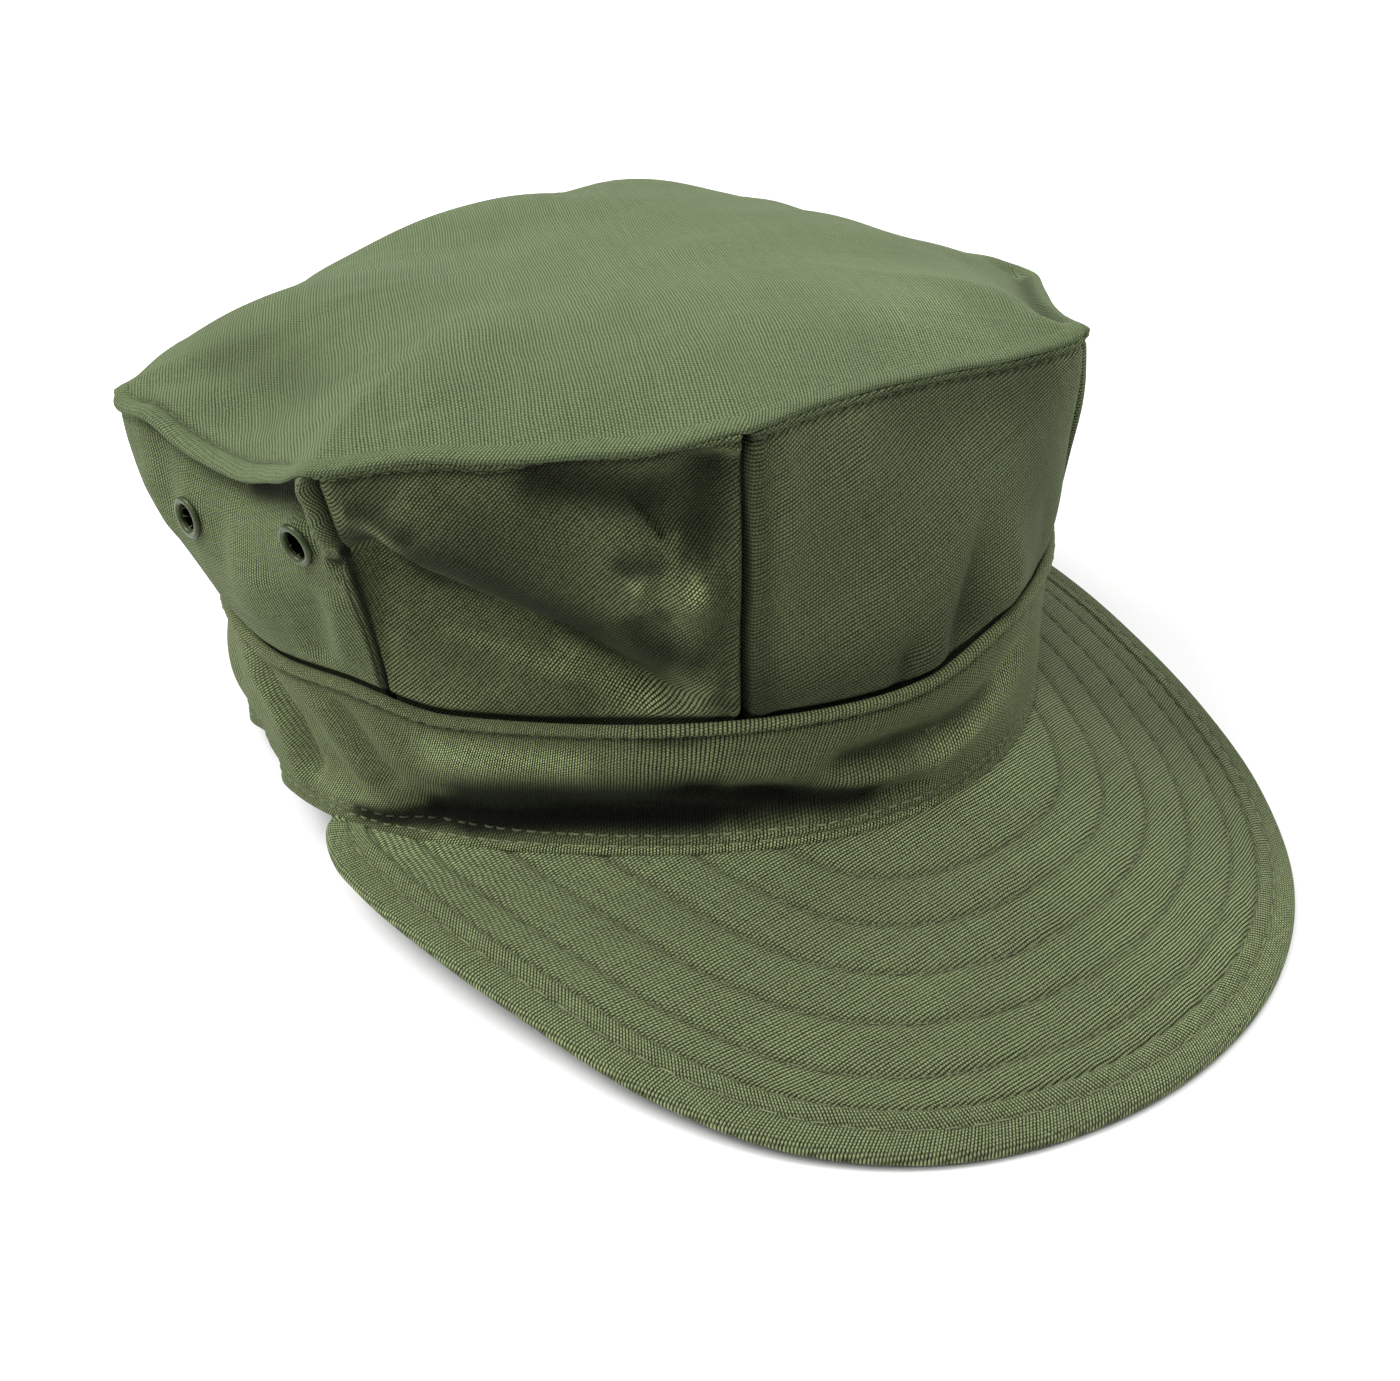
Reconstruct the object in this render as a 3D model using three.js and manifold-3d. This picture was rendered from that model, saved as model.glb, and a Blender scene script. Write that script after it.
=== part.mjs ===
// Eight-cornered soft cloth cap with a stitched peak. Sizes in mm.
// Cap frame while it is built: front is -Y, the wearer's right is -X, up is +Z,
// and the surface that the cap rests on is z = 0. The last step moves the middle
// of the cap's outline over the origin.
import * as THREE from 'three';
import Module from 'manifold-3d';

const CLOTH = 1.4;            // wall of a side panel
const TOP_WALL = 1.4;         // wall of the top, two layers in the seam around it
const BAND_WALL = 1.9;        // band: folded cloth
const PEAK_WALL = 3.0;        // stiffened peak
const GAP = 0.3;              // between two pieces
const BAND_HEIGHT = 32.9;
const BAND_LEAN = 0.05;       // inward per mm of height
const RIM_RISE = 25.8;        // how far the rim climbs from back to front
const REST_FROM = 15;         // y where the rim starts to sag to the table
const REST_TO = 82;           // y where it lies flat on the table
const PEAK_SLOPE = 0.372;     // down per mm outward
const PEAK_SLOPE_SIDE = -0.018;
const PEAK_END = 82.5;        // degrees from the front
const PEAK_END_ROUND = 7;     // degrees over which the end is rounded
const SEAM_RIDGE = 1.3;       // raised fold around the top
const SEAM_OVERHANG = 1.0;
const DOME = 15.5;            // rise of the top's middle over its edge
const DOME_POWER = 4.2;
const EYELET = { flange: 4.3, bore: 2.45, barrel: 2.9, hole: 3.2, wall: 0.9, dome: 0.9 };

// Rim of the head opening: radius by harmonic of the angle from the front.
const RIM = [
  { harmonic: 0, size: 95.9 },
  { harmonic: 1, size: -4.2 },
  { harmonic: 2, size: 3.75 },
  { harmonic: 3, size: 0.1 },
  { harmonic: 4, size: 3.4 },
];

// Outline of the peak: distance from the head's middle, by angle from the front.
const PEAK_OUTLINE = [
  { at: 0, radius: 162.3 }, { at: 10, radius: 160.8 }, { at: 20, radius: 155.6 },
  { at: 30, radius: 145.8 }, { at: 40, radius: 132.5 }, { at: 50, radius: 120.9 },
  { at: 60, radius: 112.9 }, { at: 70, radius: 106.9 }, { at: 80, radius: 101.9 },
  { at: 90, radius: 98.0 },
];

// Corners of the top, and the angle where each corner's seam meets the band.
// tip: small upturned point; bow: outward curve of the seam's middle.
const CORNERS = {
  A: { x: -97.3, y: 45.9, z: 88.0, foot: -114, tip: 2.2, bow: 3.6 },
  B: { x: -97.1, y: -30.4, z: 104.2, foot: -72.3, tip: 0, bow: -1.0 },
  C: { x: -43.8, y: -79.8, z: 114.2, foot: -27.9, tip: 0, bow: 0 },
  D: { x: 38.3, y: -84.0, z: 108.4, foot: 27.9, tip: 0.6, bow: 0.5 },
  E: { x: 91.2, y: -30.8, z: 90.0, foot: 72.3, tip: 0.4, bow: 1.0 },
  F: { x: 88.4, y: 52.8, z: 83.0, foot: 118, tip: 0.3, bow: 1.5 },
  G: { x: 46.9, y: 97.4, z: 83.0, foot: 154, tip: 0.3, bow: 1.5 },
  H: { x: -39.2, y: 98.3, z: 74.8, foot: 201.5, tip: 0.3, bow: 2.0 },
};

// Side panels. sag: how far the middle of the top edge hangs; pull: how far it
// is drawn in; at: where along it; belly: bulge of the panel's middle; swells:
// where the edge goes up or down besides, as u, width, mm.
const PANELS = [
  { name: 'panel_front', from: 'C', to: 'D', sag: -1.0, pull: 0.5, at: 0.4, belly: 1.5, swells: [[0.2, 0.15, 0.5], [0.75, 0.2, -0.8]] },
  { name: 'panel_front_left', from: 'D', to: 'E', sag: 1.5, pull: 3.0, at: 0.4, belly: 1.5 },
  { name: 'panel_side_left', from: 'E', to: 'F', sag: 2.6, pull: 1.0, at: 0.4, belly: 2.5 },
  { name: 'panel_back_left', from: 'F', to: 'G', sag: -4.8, pull: -1.0, at: 0.6, belly: 3.0 },
  { name: 'panel_back', from: 'G', to: 'H', sag: -3.6, pull: -0.5, at: 0.62, belly: 3.0 },
  { name: 'panel_back_right', from: 'H', to: 'A', sag: -0.6, pull: 0.6, at: 0.5, belly: 5.0 },
  { name: 'panel_side_right', from: 'A', to: 'B', sag: 6.5, pull: 3.0, at: 0.6, belly: 2.0, swells: [[0.2, 0.1, 2.4], [0.6, 0.18, -1.1], [0.88, 0.08, -0.8]] },
  { name: 'panel_front_right', from: 'B', to: 'C', sag: 2.0, pull: 1.0, at: 0.45, belly: 0.5, swells: [[0.25, 0.15, 1.5], [0.78, 0.14, -1.1]] },
];

// Folds of the side panels. u runs along the panel, v up it, both 0 to 1.
// turn: degrees of the fold's line from the u direction; out: mm outward.
const FOLDS = [
  { panel: 'panel_front_right', u: 0.40, v: 0.44, turn: -38, length: 34, width: 7, out: -5.0 },
  { panel: 'panel_front_right', u: 0.72, v: 0.46, turn: -30, length: 16, width: 8, out: 3.0 },
  { panel: 'panel_front_right', u: 0.28, v: 0.18, turn: -12, length: 22, width: 9, out: 2.5 },
  { panel: 'panel_front_right', u: 0.88, v: 0.86, turn: 10, length: 16, width: 6, out: -2.5 },
  { panel: 'panel_front_right', u: 0.05, v: 0.60, turn: 75, length: 18, width: 5, out: 2.5 },
  { panel: 'panel_front', u: 0.62, v: 0.40, turn: 85, length: 26, width: 9, out: -2.0 },
  { panel: 'panel_front', u: 0.80, v: 0.30, turn: 80, length: 24, width: 8, out: 1.5 },
  { panel: 'panel_side_right', u: 0.92, v: 0.90, turn: 20, length: 14, width: 6, out: -3.5 },
  { panel: 'panel_side_right', u: 0.55, v: 0.35, turn: 60, length: 24, width: 10, out: 2.0 },
  { panel: 'panel_front_left', u: 0.45, v: 0.55, turn: 35, length: 26, width: 8, out: -3.0 },
  { panel: 'panel_side_left', u: 0.35, v: 0.5, turn: 60, length: 24, width: 9, out: -2.0 },
  { panel: 'panel_back_left', u: 0.5, v: 0.45, turn: 30, length: 26, width: 9, out: -2.5 },
  { panel: 'panel_back', u: 0.35, v: 0.5, turn: 70, length: 22, width: 10, out: -2.0 },
  { panel: 'panel_back_right', u: 0.5, v: 0.55, turn: -35, length: 26, width: 9, out: -2.5 },
];

// Dents and swells of the top, in the cap frame. up: mm; turn: degrees from +X.
const DENTS = [
  { x: -78, y: 22, turn: 75, length: 36, width: 15, up: -6.5 },
  { x: -70, y: -10, turn: 55, length: 18, width: 8, up: -2.5 },
  { x: -52, y: -18, turn: 40, length: 20, width: 8, up: 2.0 },
  { x: 30, y: -40, turn: 10, length: 40, width: 22, up: -2.5 },
  { x: 62, y: -38, turn: 60, length: 26, width: 12, up: -3.0 },
  { x: 10, y: 70, turn: 0, length: 50, width: 22, up: 3.0 },
];

// Folds of the band. at: degrees from the front; h: share of the height.
const BAND_FOLDS = [
  { at: -42, h: 0.30, turn: 3, length: 46, width: 5, out: -2.4 },
  { at: -30, h: 0.62, turn: 0, length: 40, width: 7, out: 1.2 },
  { at: -6, h: 0.42, turn: -4, length: 26, width: 5, out: -1.4 },
  { at: -103, h: -0.1, turn: 0, length: 50, width: 15, out: -2.8 },
  { at: -112, h: 1.05, turn: 0, length: 80, width: 22, out: 3.0 },
  { at: 70, h: 0.4, turn: 20, length: 30, width: 7, out: -1.2 },
  { at: 150, h: 0.5, turn: 5, length: 40, width: 7, out: -1.4 },
];

// Eyelets, two in each side panel. u, v as for the folds.
const EYELETS = [
  { name: 'eyelet_right_back', panel: 'panel_side_right', u: 0.32, v: 0.67 },
  { name: 'eyelet_right_front', panel: 'panel_side_right', u: 0.805, v: 0.72 },
  { name: 'eyelet_left_front', panel: 'panel_side_left', u: 0.195, v: 0.70 },
  { name: 'eyelet_left_back', panel: 'panel_side_left', u: 0.68, v: 0.67 },
];

const COLOURS = {
  crown: 0x5c6b44, band: 0x556340, peak: 0x5a6943, metal: 0x4c5640,
};

const rad = (d) => (d * Math.PI) / 180;
const V = (x, y, z) => new THREE.Vector3(x, y, z);
const clamp = (t, a = 0, b = 1) => Math.min(b, Math.max(a, t));
const smooth = (t) => { const c = clamp(t); return c * c * (3 - 2 * c); };
const bump = (along, across, f) =>
  Math.exp(-((across / f.width) ** 2) - (Math.abs(2 * along / f.length)) ** 3);

// ---- rim, band and peak surfaces -------------------------------------------
const rimRadius = (a) => RIM.reduce((s, h) => s + h.size * Math.cos(h.harmonic * a), 0);
const RIM_FRONT = rimRadius(0);
const RIM_BACK = rimRadius(Math.PI);
const rimPlane = (y) => (RIM_RISE * (RIM_BACK - y)) / (RIM_FRONT + RIM_BACK);
const rimHeight = (y) => rimPlane(y) * (1 - smooth((y - REST_FROM) / (REST_TO - REST_FROM)));

const bandFold = (a, up) => {
  let s = 0;
  for (const f of BAND_FOLDS) {
    let d = a - rad(f.at);
    d = Math.atan2(Math.sin(d), Math.cos(d)) * 96;
    const e = up - f.h * BAND_HEIGHT;
    const c = Math.cos(rad(f.turn)), n = Math.sin(rad(f.turn));
    s += f.out * bump(d * c + e * n, -d * n + e * c, f);
  }
  // the rim stays on its line where the peak is sewn on
  return s * (Math.abs(a) < rad(PEAK_END) ? smooth(up / 7) : 1);
};
// the band is taller at the sides than at the front
const bandRise = (a) => {
  const d = (Math.atan2(Math.sin(a), Math.cos(a)) * 180) / Math.PI;
  return 4.5 * smooth((-64 - d) / 16) * (1 - 0.755 * smooth((-122 - d) / 40)) +
    4.0 * smooth((d + 12) / 24) * (1 - 0.725 * smooth((d - 60) / 60)) - Math.exp(-(((d + 40) / 22) ** 2));
};
function bandPoint(a, up, inset = 0) {
  const lift = Math.max(0, Math.min(up, BAND_HEIGHT));
  const r = rimRadius(a) - BAND_LEAN * up + bandFold(a, lift) - inset;
  const y = -rimRadius(a) * Math.cos(a);
  return V(r * Math.sin(a), -r * Math.cos(a), rimHeight(y) + up * (1 + (up > 0 ? bandRise(a) / BAND_HEIGHT : 0)));
}

function peakOuterRadius(a) {
  // smooth curve through the outline's rows, mirrored at the front
  const t = Math.abs(a) * (180 / Math.PI) / 10;
  const i = Math.min(PEAK_OUTLINE.length - 2, Math.floor(t)), w = t - i;
  const at = (k) => PEAK_OUTLINE[Math.min(PEAK_OUTLINE.length - 1, Math.abs(k))].radius;
  const [p0, p1, p2, p3] = [at(i - 1), at(i), at(i + 1), at(i + 2)];
  return p1 + 0.5 * w * (p2 - p0 + w * (2 * p0 - 5 * p1 + 4 * p2 - p3 + w * (3 * (p1 - p2) + p3 - p0)));
}
function peakPoint(a, r) {
  const ri = rimRadius(a);
  const slope = PEAK_SLOPE + PEAK_SLOPE_SIDE * (1 - Math.cos(a));
  return V(r * Math.sin(a), -r * Math.cos(a), rimHeight(-ri * Math.cos(a)) - slope * (r - ri));
}

// ---- side panels -------------------------------------------------------------
const corner = (k) => V(CORNERS[k].x, CORNERS[k].y, CORNERS[k].z);
const MIDDLE = V(-2.5, 8.2, 0);
function edgePoint(p, u) {
  // top edge of a panel, corner to corner
  const a = corner(p.from), b = corner(p.to);
  const q = a.clone().lerp(b, u);
  const w = u < p.at ? u / p.at : (1 - u) / (1 - p.at);
  const k = Math.sin((Math.PI / 2) * w) ** 1.4;
  const inward = V(MIDDLE.x - q.x, MIDDLE.y - q.y, 0).normalize();
  q.addScaledVector(inward, p.pull * k);
  q.z -= p.sag * k;
  for (const [at, wide, up] of p.swells ?? []) {
    q.z += up * Math.exp(-(((u - at) / wide) ** 2)) * smooth(u / 0.1) * smooth((1 - u) / 0.1);
  }
  q.z += CORNERS[p.from].tip * Math.exp(-((u / 0.07) ** 2)) + CORNERS[p.to].tip * Math.exp(-(((1 - u) / 0.07) ** 2));
  return q;
}
const footAngle = (p, u) => {
  const a = CORNERS[p.from].foot;
  let b = CORNERS[p.to].foot;
  while (b < a) b += 360;
  return rad(a + (b - a) * u);
};
function panelFrame(p, u, v) {
  const low = bandPoint(footAngle(p, u), BAND_HEIGHT + GAP + 0.4, 0.25);
  const high = edgePoint(p, u);
  return { low, high };
}
function panelPoint(p, u, v) {
  const { low, high } = panelFrame(p, u, v);
  const q = low.clone().lerp(high, v);
  const out = V(q.x - MIDDLE.x, q.y - MIDDLE.y, 0).normalize();
  const wide = edgePoint(p, 0).distanceTo(edgePoint(p, 1));
  const tall = low.distanceTo(high);
  const bow = CORNERS[p.from].bow * (1 - u) + CORNERS[p.to].bow * u;
  let s = (p.belly * 4 * u * (1 - u) + bow) * 4 * v * (1 - v);
  for (const f of FOLDS) {
    if (f.panel !== p.name) continue;
    const d = (u - f.u) * wide, e = (v - f.v) * tall;
    const c = Math.cos(rad(f.turn)), n = Math.sin(rad(f.turn));
    s += f.out * bump(d * c + e * n, -d * n + e * c, f) *
      smooth(v / 0.12) * smooth((1 - v) / 0.12) * smooth(u / 0.1) * smooth((1 - u) / 0.1);
  }
  return q.addScaledVector(out, s);
}

// ---- top -----------------------------------------------------------------------
function topPoint(p, u, s, drop = 0) {
  const e = edgePoint(p, u);
  const out = V(e.x - MIDDLE.x, e.y - MIDDLE.y, 0).normalize();
  const x = MIDDLE.x + (e.x - MIDDLE.x) * s, y = MIDDLE.y + (e.y - MIDDLE.y) * s;
  const z = planeHeight(x, y) + (e.z - planeHeight(e.x, e.y)) * s ** 3 + DOME * (1 - s ** DOME_POWER);
  let d = 0;
  for (const f of DENTS) {
    const dx = x - f.x, dy = y - f.y;
    const c = Math.cos(rad(f.turn)), n = Math.sin(rad(f.turn));
    d += f.up * bump(dx * c + dy * n, -dx * n + dy * c, f);
  }
  const q = V(x, y, z + d * smooth((1 - s) / 0.12) - drop);
  return q.addScaledVector(out, SEAM_OVERHANG * smooth((s - 0.9) / 0.1));
}
const PLANE = { z: 91.45, x: -0.0569, y: -0.199 };
const planeHeight = (x, y) => PLANE.z + PLANE.x * (x - MIDDLE.x) + PLANE.y * (y - MIDDLE.y);

// ---- mesh building -------------------------------------------------------------
// closed shell from an outer and an inner grid of points, both rows x columns
function shell(outer, inner, wrap = false) {
  const rows = outer.length, cols = outer[0].length;
  const pos = [], tri = [];
  for (const g of [outer, inner]) for (const r of g) for (const q of r) pos.push(q.x, q.y, q.z);
  const id = (g, i, j) => g * rows * cols + i * cols + (wrap ? j % cols : j);
  const last = wrap ? cols : cols - 1;
  const quad = (a, b, c, d) => tri.push(a, b, c, a, c, d);
  for (let i = 0; i < rows - 1; i++) {
    for (let j = 0; j < last; j++) {
      quad(id(0, i, j), id(0, i, j + 1), id(0, i + 1, j + 1), id(0, i + 1, j));
      quad(id(1, i, j), id(1, i + 1, j), id(1, i + 1, j + 1), id(1, i, j + 1));
    }
  }
  for (let j = 0; j < last; j++) {
    quad(id(0, 0, j + 1), id(0, 0, j), id(1, 0, j), id(1, 0, j + 1));
    quad(id(0, rows - 1, j), id(0, rows - 1, j + 1), id(1, rows - 1, j + 1), id(1, rows - 1, j));
  }
  if (!wrap) {
    for (let i = 0; i < rows - 1; i++) {
      quad(id(0, i, 0), id(0, i + 1, 0), id(1, i + 1, 0), id(1, i, 0));
      quad(id(0, i + 1, cols - 1), id(0, i, cols - 1), id(1, i, cols - 1), id(1, i + 1, cols - 1));
    }
  }
  return geometry(pos, tri);
}
function geometry(pos, tri) {
  const g = new THREE.BufferGeometry();
  g.setAttribute('position', new THREE.Float32BufferAttribute(pos, 3));
  g.setIndex(tri);
  g.computeVertexNormals();
  return g;
}
// normals of a grid of points
function gridNormals(grid) {
  const rows = grid.length, cols = grid[0].length;
  return grid.map((row, i) => row.map((q, j) => {
    const du = row[Math.min(cols - 1, j + 1)].clone().sub(row[Math.max(0, j - 1)]);
    const dv = grid[Math.min(rows - 1, i + 1)][j].clone().sub(grid[Math.max(0, i - 1)][j]);
    return du.cross(dv).normalize();
  }));
}
// direction of the mitre between two faces, long enough to keep the wall's depth
function mitre(a, b) {
  const m = a.clone().add(b).normalize();
  return m.divideScalar(Math.max(0.5, m.dot(a)));
}

const material = (color, roughness, metalness) => new THREE.MeshStandardMaterial({ color, roughness, metalness });
const group = new THREE.Group();
group.name = 'cap';
function add(name, geo, mat) {
  const m = new THREE.Mesh(geo, mat);
  m.name = name;
  group.add(m);
  return m;
}

const wasm = await Module();
wasm.setup();
function toManifold(geo) {
  const g = geo.index ? geo : geo.clone();
  return new wasm.Manifold(new wasm.Mesh({
    numProp: 3,
    vertProperties: new Float32Array(g.attributes.position.array),
    triVerts: new Uint32Array(g.index.array),
  }));
}
function fromManifold(man) {
  const m = man.getMesh();
  const pos = [];
  for (let i = 0; i < m.vertProperties.length; i += m.numProp) {
    pos.push(m.vertProperties[i], m.vertProperties[i + 1], m.vertProperties[i + 2]);
  }
  return geometry(pos, Array.from(m.triVerts));
}

// Side panels: the upper edge stops a gap under the top's seam.
const PANEL_COLS = 12, PANEL_ROWS = 9;
const panelAt = (name) => PANELS.find((p) => p.name === name);
function panelGrid(p) {
  const grid = [];
  const wide = edgePoint(p, 0).distanceTo(edgePoint(p, 1));
  const trimU = (GAP / 2 + 0.05) / wide;
  for (let i = 0; i <= PANEL_ROWS; i++) {
    const row = [];
    for (let j = 0; j <= PANEL_COLS; j++) {
      const u = trimU + (1 - 2 * trimU) * (j / PANEL_COLS);
      const { low, high } = panelFrame(p, u, 0);
      const stop = 1 - (TOP_WALL + GAP + 0.5) / low.distanceTo(high);
      row.push(panelPoint(p, u, stop * (i / PANEL_ROWS)));
    }
    grid.push(row);
  }
  return grid;
}
function eyeletFrame(e) {
  const p = panelAt(e.panel);
  const q = panelPoint(p, e.u, e.v);
  const du = panelPoint(p, e.u + 0.03, e.v).sub(panelPoint(p, e.u - 0.03, e.v));
  const dv = panelPoint(p, e.u, e.v + 0.04).sub(panelPoint(p, e.u, e.v - 0.04));
  const n = du.clone().cross(dv).normalize();
  return { q, n };
}
const toFrame = (geo, q, n) => {
  // a lathe's axis is Y: turn it to the panel's normal
  const rot = new THREE.Quaternion().setFromUnitVectors(V(0, 1, 0), n);
  geo.applyQuaternion(rot);
  geo.translate(q.x, q.y, q.z);
  return geo;
};
function lathe(profile, parts) {
  // profile: [radius, height] rows; closes on itself or starts and ends on the axis
  const g = new THREE.LatheGeometry(profile.map(([r, h]) => new THREE.Vector2(r, h)), parts);
  g.deleteAttribute('uv');
  g.deleteAttribute('normal');
  return weld(g);
}
function weld(g) {
  const pos = g.attributes.position.array, idx = g.index.array;
  const key = new Map(), out = [], map = [];
  for (let i = 0; i < pos.length; i += 3) {
    const k = [0, 1, 2].map((n) => Math.round(pos[i + n] * 1e4)).join(',');
    if (!key.has(k)) { key.set(k, out.length / 3); out.push(pos[i], pos[i + 1], pos[i + 2]); }
    map.push(key.get(k));
  }
  const tri = [];
  for (let i = 0; i < idx.length; i += 3) {
    const a = map[idx[i]], b = map[idx[i + 1]], c = map[idx[i + 2]];
    if (a !== b && b !== c && a !== c) tri.push(a, b, c);
  }
  return geometry(out, tri);
}

const cloth = material(COLOURS.crown, 0.95, 0);
const grids = PANELS.map(panelGrid);
const normals = grids.map(gridNormals);
PANELS.forEach((p, k) => {
  const outer = grids[k], own = normals[k], N = PANELS.length;
  const before = normals[(k + N - 1) % N], after = normals[(k + 1) % N];
  // the walls of two neighbours meet on a mitre behind their seam
  const inner = outer.map((row, i) => row.map((q, j) => {
    let n = own[i][j];
    if (j === 0) n = mitre(n, before[i][PANEL_COLS]);
    if (j === PANEL_COLS) n = mitre(n, after[i][0]);
    return q.clone().addScaledVector(n, -CLOTH);
  }));
  let geo = shell(outer, inner);
  for (const e of EYELETS.filter((q) => q.panel === p.name)) {
    const { q, n } = eyeletFrame(e);
    const drill = toFrame(lathe([[0, -6], [EYELET.hole, -6], [EYELET.hole, 6], [0, 6]], 16), q, n);
    geo = fromManifold(toManifold(geo).subtract(toManifold(drill)));
  }
  add(p.name, geo, cloth);
});

// Top: a domed sheet with a raised fold along its edge.
const TOP_RINGS = [0, 0.25, 0.48, 0.66, 0.80, 0.90, 0.96, 0.985, 1.0];
{
  const EDGE_STEPS = 6;
  const outer = [], inner = [];
  for (const s of TOP_RINGS) {
    if (s === 0) continue;
    const ro = [], ri = [];
    for (const p of PANELS) {
      for (let j = 0; j < EDGE_STEPS; j++) {
        const u = j / EDGE_STEPS;
        const ridge = s > 0.97 ? SEAM_RIDGE * (s > 0.99 ? 0.4 : 1) : 0;
        const q = topPoint(p, u, s);
        const r = q.clone();
        q.z += ridge;
        r.z -= TOP_WALL;
        if (s > 0.99) { r.x -= (r.x - MIDDLE.x) * 0.003; r.y -= (r.y - MIDDLE.y) * 0.003; }
        ro.push(q);
        ri.push(r);
      }
    }
    outer.push(ro);
    inner.push(ri);
  }
  const cols = outer[0].length, rows = outer.length;
  const pos = [], tri = [];
  for (const g of [outer, inner]) for (const r of g) for (const q of r) pos.push(q.x, q.y, q.z);
  const id = (g, i, j) => g * rows * cols + i * cols + (j % cols);
  const c0 = topPoint(PANELS[0], 0, 0), top = pos.length / 3;
  pos.push(c0.x, c0.y, c0.z);
  pos.push(c0.x, c0.y, c0.z - TOP_WALL);
  const quad = (a, b, c, d) => tri.push(a, b, c, a, c, d);
  for (let j = 0; j < cols; j++) {
    tri.push(top, id(0, 0, j), id(0, 0, j + 1));
    tri.push(top + 1, id(1, 0, j + 1), id(1, 0, j));
    for (let i = 0; i < rows - 1; i++) {
      quad(id(0, i, j), id(0, i + 1, j), id(0, i + 1, j + 1), id(0, i, j + 1));
      quad(id(1, i, j), id(1, i, j + 1), id(1, i + 1, j + 1), id(1, i + 1, j));
    }
    quad(id(0, rows - 1, j), id(1, rows - 1, j), id(1, rows - 1, j + 1), id(0, rows - 1, j + 1));
  }
  add('crown_top', geometry(pos, tri), cloth);
}

// Band around the head, its upper edge rolled a little outward.
{
  const BAND_COLS = 72, BAND_UPS = [0, 0.18, 0.38, 0.62, 0.88, 1];
  const outer = BAND_UPS.map((h) => Array.from({ length: BAND_COLS }, (_, j) => {
    const a = (2 * Math.PI * j) / BAND_COLS;
    const roll = h > 0.87 ? -0.5 : 0;
    return bandPoint(a, h * BAND_HEIGHT, roll);
  }));
  const inner = BAND_UPS.map((h) => Array.from({ length: BAND_COLS }, (_, j) => {
    const a = (2 * Math.PI * j) / BAND_COLS;
    return bandPoint(a, h * BAND_HEIGHT, BAND_WALL);
  }));
  add('band', shell(outer, inner, true), material(COLOURS.band, 0.95, 0));
}

// Peak: a stiffened sheet from the band's lower edge to the outline.
{
  const COLS = 40, ROWS = 5;
  const end = rad(PEAK_END);
  const upper = [], lower = [];
  for (let i = 0; i <= ROWS; i++) {
    const u = [], l = [];
    for (let j = 0; j <= COLS; j++) {
      // closer steps near the two ends
      const t = -1 + (2 * j) / COLS;
      const a = end * Math.sin((Math.PI / 2) * t * 0.92) / Math.sin((Math.PI / 2) * 0.92);
      const from = rimRadius(a) + GAP;
      const rest = clamp((rad(PEAK_END) - Math.abs(a)) / rad(PEAK_END_ROUND));
      const round = 0.25 + 0.75 * Math.sqrt(1 - (1 - rest) ** 2);
      const r = from + (peakOuterRadius(a) - from) * round * (i / ROWS);
      const q = peakPoint(a, r);
      const half = (PEAK_WALL / 2) * (i === ROWS ? 0.55 : 1);
      u.push(V(q.x, q.y, q.z + half));
      l.push(V(q.x, q.y, Math.max(0, q.z - half)));
    }
    upper.push(u);
    lower.push(l);
  }
  // rows run outward: the upper side faces up
  const flip = (g) => g.map((r) => r.slice().reverse());
  add('peak', shell(flip(upper), flip(lower)), material(COLOURS.peak, 0.95, 0));
}

// Eyelets: a rolled ring on each face, joined by the barrel through the cloth.
for (const e of EYELETS) {
  const { q, n } = eyeletFrame(e);
  const E = EYELET, g = 0.65;
  const back = -(CLOTH + g);
  const profile = [
    [E.bore, back - E.wall], [E.flange - 0.5, back - E.wall * 0.8], [E.flange - 0.5, back],
    [E.barrel, back], [E.barrel, g], [E.flange, g],
    [E.flange - 0.9, g + E.dome], [E.bore + 0.5, g + E.dome * 0.9], [E.bore, g], [E.bore, back - E.wall],
  ];
  add(e.name, toFrame(lathe(profile, 14), q, n), material(COLOURS.metal, 0.4, 0.2));
}

// Middle of the outline over the origin, lowest point at z = 0.
const box = new THREE.Box3();
group.children.forEach((m) => { m.geometry.computeBoundingBox(); box.union(m.geometry.boundingBox); });
const shift = V(-(box.min.x + box.max.x) / 2, -(box.min.y + box.max.y) / 2, -box.min.z);
group.children.forEach((m) => m.geometry.translate(shift.x, shift.y, shift.z));

export default group;
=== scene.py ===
import math
import bpy
import numpy as np
from mathutils import Matrix, Vector


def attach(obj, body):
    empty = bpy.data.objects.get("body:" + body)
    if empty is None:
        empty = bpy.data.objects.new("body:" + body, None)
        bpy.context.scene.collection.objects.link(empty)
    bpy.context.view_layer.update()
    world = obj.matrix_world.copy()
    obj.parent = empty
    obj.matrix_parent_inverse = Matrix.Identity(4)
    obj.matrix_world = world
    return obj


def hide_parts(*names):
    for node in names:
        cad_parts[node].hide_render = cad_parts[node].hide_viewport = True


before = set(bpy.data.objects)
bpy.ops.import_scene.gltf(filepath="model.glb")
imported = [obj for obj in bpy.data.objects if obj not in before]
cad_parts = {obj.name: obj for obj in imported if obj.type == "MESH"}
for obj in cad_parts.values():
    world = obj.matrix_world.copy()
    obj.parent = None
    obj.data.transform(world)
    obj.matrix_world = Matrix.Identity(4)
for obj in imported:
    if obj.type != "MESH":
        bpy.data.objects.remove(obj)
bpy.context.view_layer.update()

# ---- geometry: start ---------------------------------------------------------
# Cap frame, in mm: front -Y, wearer's right -X, up +Z, table z = 0. SHIFT moves it
# to the frame that the solids are in.
SHIFT = np.array([0.0, 27.575, 0.0])
BAND_HEIGHT = 32.9
BAND_LEAN = 0.05
BAND_WALL = 1.9
CLOTH = 1.4
PEAK_WALL = 3.0
RIM_RISE = 25.8
REST_FROM, REST_TO = 15.0, 82.0
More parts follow.
